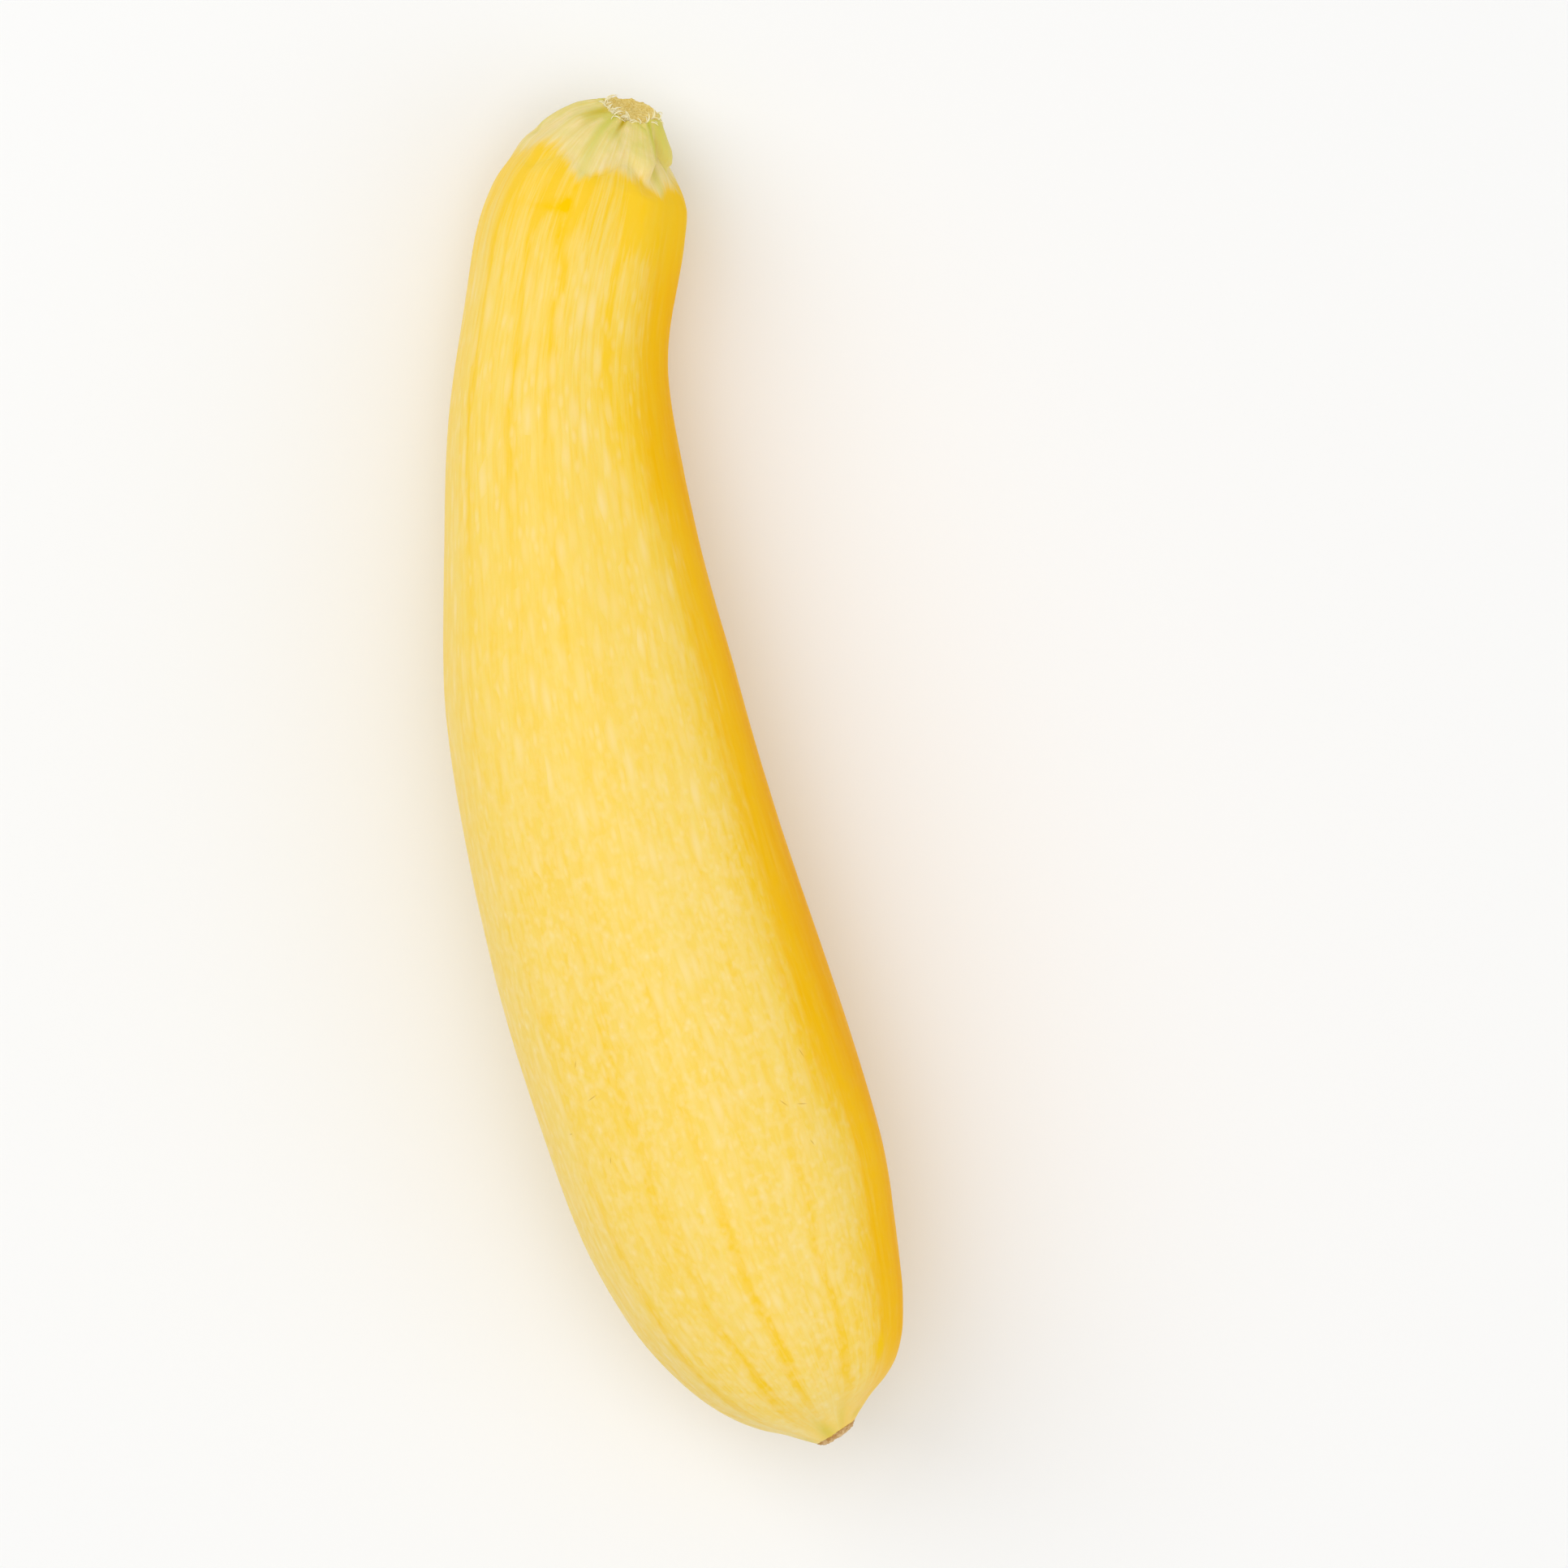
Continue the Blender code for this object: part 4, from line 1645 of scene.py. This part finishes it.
    def _with_cut_face(self, skin: np.ndarray, at: Places, cut: np.ndarray) -> np.ndarray:
        """Spread the cut face's points between the ragged rim and the sunken pith.

        Args:
            skin: The points, those of the cut face at its rim.
            at: Their places before they were settled.
            cut: How far each point belongs to the cut face.

        Returns:
            The points with the cut face in place.
        """
        on_face = cut > 0.0
        along, _, _ = FORM.directions(np.array([FORM.length]))
        inward = np.clip(at.radius / FORM.cut_radius, 0.0, 1.0)
        middle = skin[on_face].mean(axis=0)
        shares, depths = np.array(((1.0, 0.0),) + self.cut_rings + ((0.0, self.cut_rings[-1][1]),)).T
        depth = np.interp(-inward, -shares, depths)
        flat = middle + (skin - middle) * inward[:, None]
        depth[on_face] += self.pith_height * ripple(flat[on_face], (self.pith_grain,) * 3, 3)
        share = np.clip(cut * self.cut_spread, 0.0, 1.0)[:, None]
        return skin * (1.0 - share) + (flat + along * depth[:, None]) * share


@dataclass
class StemFibres:
    """Curled shreds along the lower edge of the knife cut."""

    name: str = "squash_stem_fibres"
    count: int = 60
    thickness: float = 0.13
    sides: int = 6
    length: float = 1.45
    steps: int = 5
    curl: float = 0.32
    thinning: float = 0.82
    tip: float = 0.35
    seed: int = 7
    spread: float = 62.0
    below_cut: Span = (0.0, 0.5)
    inside_rim: Span = (0.1, 0.7)
    lean: Span = (0.2, 1.1)
    curl_out: Span = (-1.0, 0.4)
    curl_side: Span = (-1.0, 1.0)
    size: Span = (0.55, 1.15)

    def build(self) -> bpy.types.Object:
        """Model one curled shred, copy it along the rim and join the copies.

        Returns:
            The finished piece.
        """
        pattern = self._shred()
        draw = random.Random(self.seed)
        copies = [self._copy(pattern, draw) for _ in range(self.count)]
        bpy.data.objects.remove(pattern, do_unlink=True)
        select_nothing()
        for copy in copies:
            copy.select_set(True)
        bpy.context.view_layer.objects.active = copies[0]
        bpy.ops.object.join()
        piece = bpy.context.object
        piece.name = piece.data.name = self.name
        bpy.ops.object.transform_apply(location=True, rotation=True, scale=True)
        bpy.ops.object.shade_smooth()
        return piece

    def _shred(self) -> bpy.types.Object:
        """Draw one shred from a small disc, curled as it thins.

        Returns:
            The shred.
        """
        select_nothing()
        bpy.ops.mesh.primitive_circle_add(vertices=self.sides, radius=self.thickness * MM, fill_type="NGON")
        shred = bpy.context.object
        bpy.ops.object.mode_set(mode="EDIT")
        bpy.ops.mesh.select_all(action="SELECT")
        step = self.length / self.steps * MM
        place = Vector((0.0, 0.0, 0.0))
        for i in range(self.steps):
            heading = self.curl * (i + 1)
            move = Vector((math.sin(heading), 0.0, math.cos(heading))) * step
            place += move
            bpy.ops.mesh.extrude_region_move(TRANSFORM_OT_translate={"value": move})
            bpy.ops.transform.rotate(value=-self.curl, orient_axis="Y", center_override=place)
            thin = self.thinning if i < self.steps - 1 else self.tip
            bpy.ops.transform.resize(value=(thin, thin, thin), center_override=place)
        bpy.ops.mesh.select_all(action="SELECT")
        bpy.ops.mesh.normals_make_consistent(inside=False)
        bpy.ops.object.mode_set(mode="OBJECT")
        return shred

    def _copy(self, pattern: bpy.types.Object, draw: random.Random) -> bpy.types.Object:
        """Copy the shred to a place on the rim.

        Args:
            pattern: The shred.
            draw: The seeded draw.

        Returns:
            The placed copy.
        """
        copy = pattern.copy()
        copy.data = pattern.data.copy()
        bpy.context.scene.collection.objects.link(copy)
        theta = np.array([math.radians(draw.gauss(0.0, self.spread))])
        s = FORM.cut_at(theta) - draw.uniform(*self.below_cut)
        radius = FORM.girth_at(np.array([FORM.length])) - draw.uniform(*self.inside_rim)
        root = FORM.point(s, theta, radius)[0] * MM
        along, side, _ = (direction[0] for direction in FORM.directions(s))
        out = FORM.outward(s, theta)[0]
        lean = draw.uniform(*self.lean)
        axis_z = Vector(along * math.cos(lean) + out * math.sin(lean)).normalized()
        curl = out * draw.uniform(*self.curl_out) + side * draw.uniform(*self.curl_side)
        axis_x = Vector(curl).normalized()
        axis_y = axis_z.cross(axis_x).normalized()
        turn = Matrix((axis_y.cross(axis_z), axis_y, axis_z)).transposed().to_4x4()
        size = Matrix.Scale(draw.uniform(*self.size), 4)
        copy.matrix_world = Matrix.Translation(Vector(root)) @ turn @ size
        return copy


@dataclass
class Studio:
    """A pale floor, soft light from the upper left and a camera straight above."""

    frame_width: float = 193.2
    camera_height: float = 1200.0
    camera_reach: float = 10000.0
    sensor: float = 36.0
    mean_height: float = 18.0
    aim: Span = (-3.45, -17.44)
    image_right: Span = (-0.156, -0.98775)
    floor_size: float = 4000.0
    floor_colour: str = "#F5F5F4"
    floor_roughness: float = 0.9
    world_colour: str = "#FFFFFF"
    world_strength: float = 0.62
    lights: tuple[tuple[str, Triple, float, float], ...] = (
        ("key_softbox", (520.0, 620.0, 900.0), 900.0, 3.8),
        ("top_softbox", (-60.0, -40.0, 1300.0), 1100.0, 4.4),
        ("fill_softbox", (-500.0, -700.0, 600.0), 900.0, 1.4),
    )

    def build(self) -> None:
        """Set up the floor, the lights, the world and the camera."""
        self._floor()
        for name, place, size, power in self.lights:
            self._light(name, place, size, power)
        world = bpy.data.worlds.new("studio_white")
        world.use_nodes = True
        background = world.node_tree.nodes["Background"]
        background.inputs["Strength"].default_value = self.world_strength
        background.inputs["Color"].default_value = linear(self.world_colour)
        bpy.context.scene.world = world
        bpy.context.scene.view_settings.view_transform = "Standard"
        self._camera()

    def _floor(self) -> None:
        """Lay the plain floor."""
        select_nothing()
        bpy.ops.mesh.primitive_plane_add(size=self.floor_size * MM)
        floor = bpy.context.object
        floor.name = "studio_floor"
        material, tree = new_material("studio_paper_floor")
        finish_material(
            tree, {"Base Color": linear(self.floor_colour), "Roughness": self.floor_roughness}, {}
        )
        floor.data.materials.append(material)

    def _light(self, name: str, place: Triple, size: float, power: float) -> None:
        """Hang a square softbox that faces the squash.

        Args:
            name: The light's name.
            place: Its place in mm.
            size: Its side in mm.
            power: Its power in watts.
        """
        light = bpy.data.lights.new(name, "AREA")
        light.size = size * MM
        light.energy = power
        lamp = bpy.data.objects.new(name, light)
        lamp.location = Vector(place) * MM
        lamp.rotation_euler = (-Vector(place)).to_track_quat("-Z", "Y").to_euler()
        bpy.context.scene.collection.objects.link(lamp)

    def _camera(self) -> None:
        """Hang the camera straight above, turned as the photograph is."""
        camera = bpy.data.cameras.new("photo_camera")
        camera.sensor_width = self.sensor
        camera.lens = self.sensor * (self.camera_height - self.mean_height) / self.frame_width
        camera.clip_end = self.camera_reach * MM
        holder = bpy.data.objects.new("photo_camera", camera)
        holder.location = Vector((*self.aim, self.camera_height)) * MM
        holder.rotation_euler = (0.0, 0.0, math.atan2(self.image_right[1], self.image_right[0]))
        bpy.context.scene.collection.objects.link(holder)
        bpy.context.scene.camera = holder


def hand_over(piece: bpy.types.Object, node: Node) -> None:
    """Let a finished piece ride and replace its node.

    Args:
        piece: The piece.
        node: The node that it stands for.
    """
    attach(piece, BODY)
    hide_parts(node.value)
    LOG.info("%s: %d faces, for %s", piece.name, len(piece.data.polygons), node.value)


def main() -> None:
    """Build and dress the squash, then set up the studio."""
    logging.basicConfig(level=logging.INFO, format="%(name)s %(message)s")
    skin = WaxyRind().make(StemSkin())
    fruit = SquashFruit()
    fruit_piece = fruit.build()
    dress(fruit_piece, skin, ScarCork().make(), "scar_cork", fruit.cork_weight)
    hand_over(fruit_piece, Node.FRUIT)
    stem = StemStub()
    stem_piece = stem.build()
    dress(stem_piece, skin, CutPith().make(), "cut_face", stem.cut_weight)
    hand_over(stem_piece, Node.STEM)
    fibre_piece = StemFibres().build()
    fibre_piece.data.materials.append(DryFibre().make())
    hand_over(fibre_piece, Node.STEM)
    Studio().build()


if __name__ == "__main__":
    main()
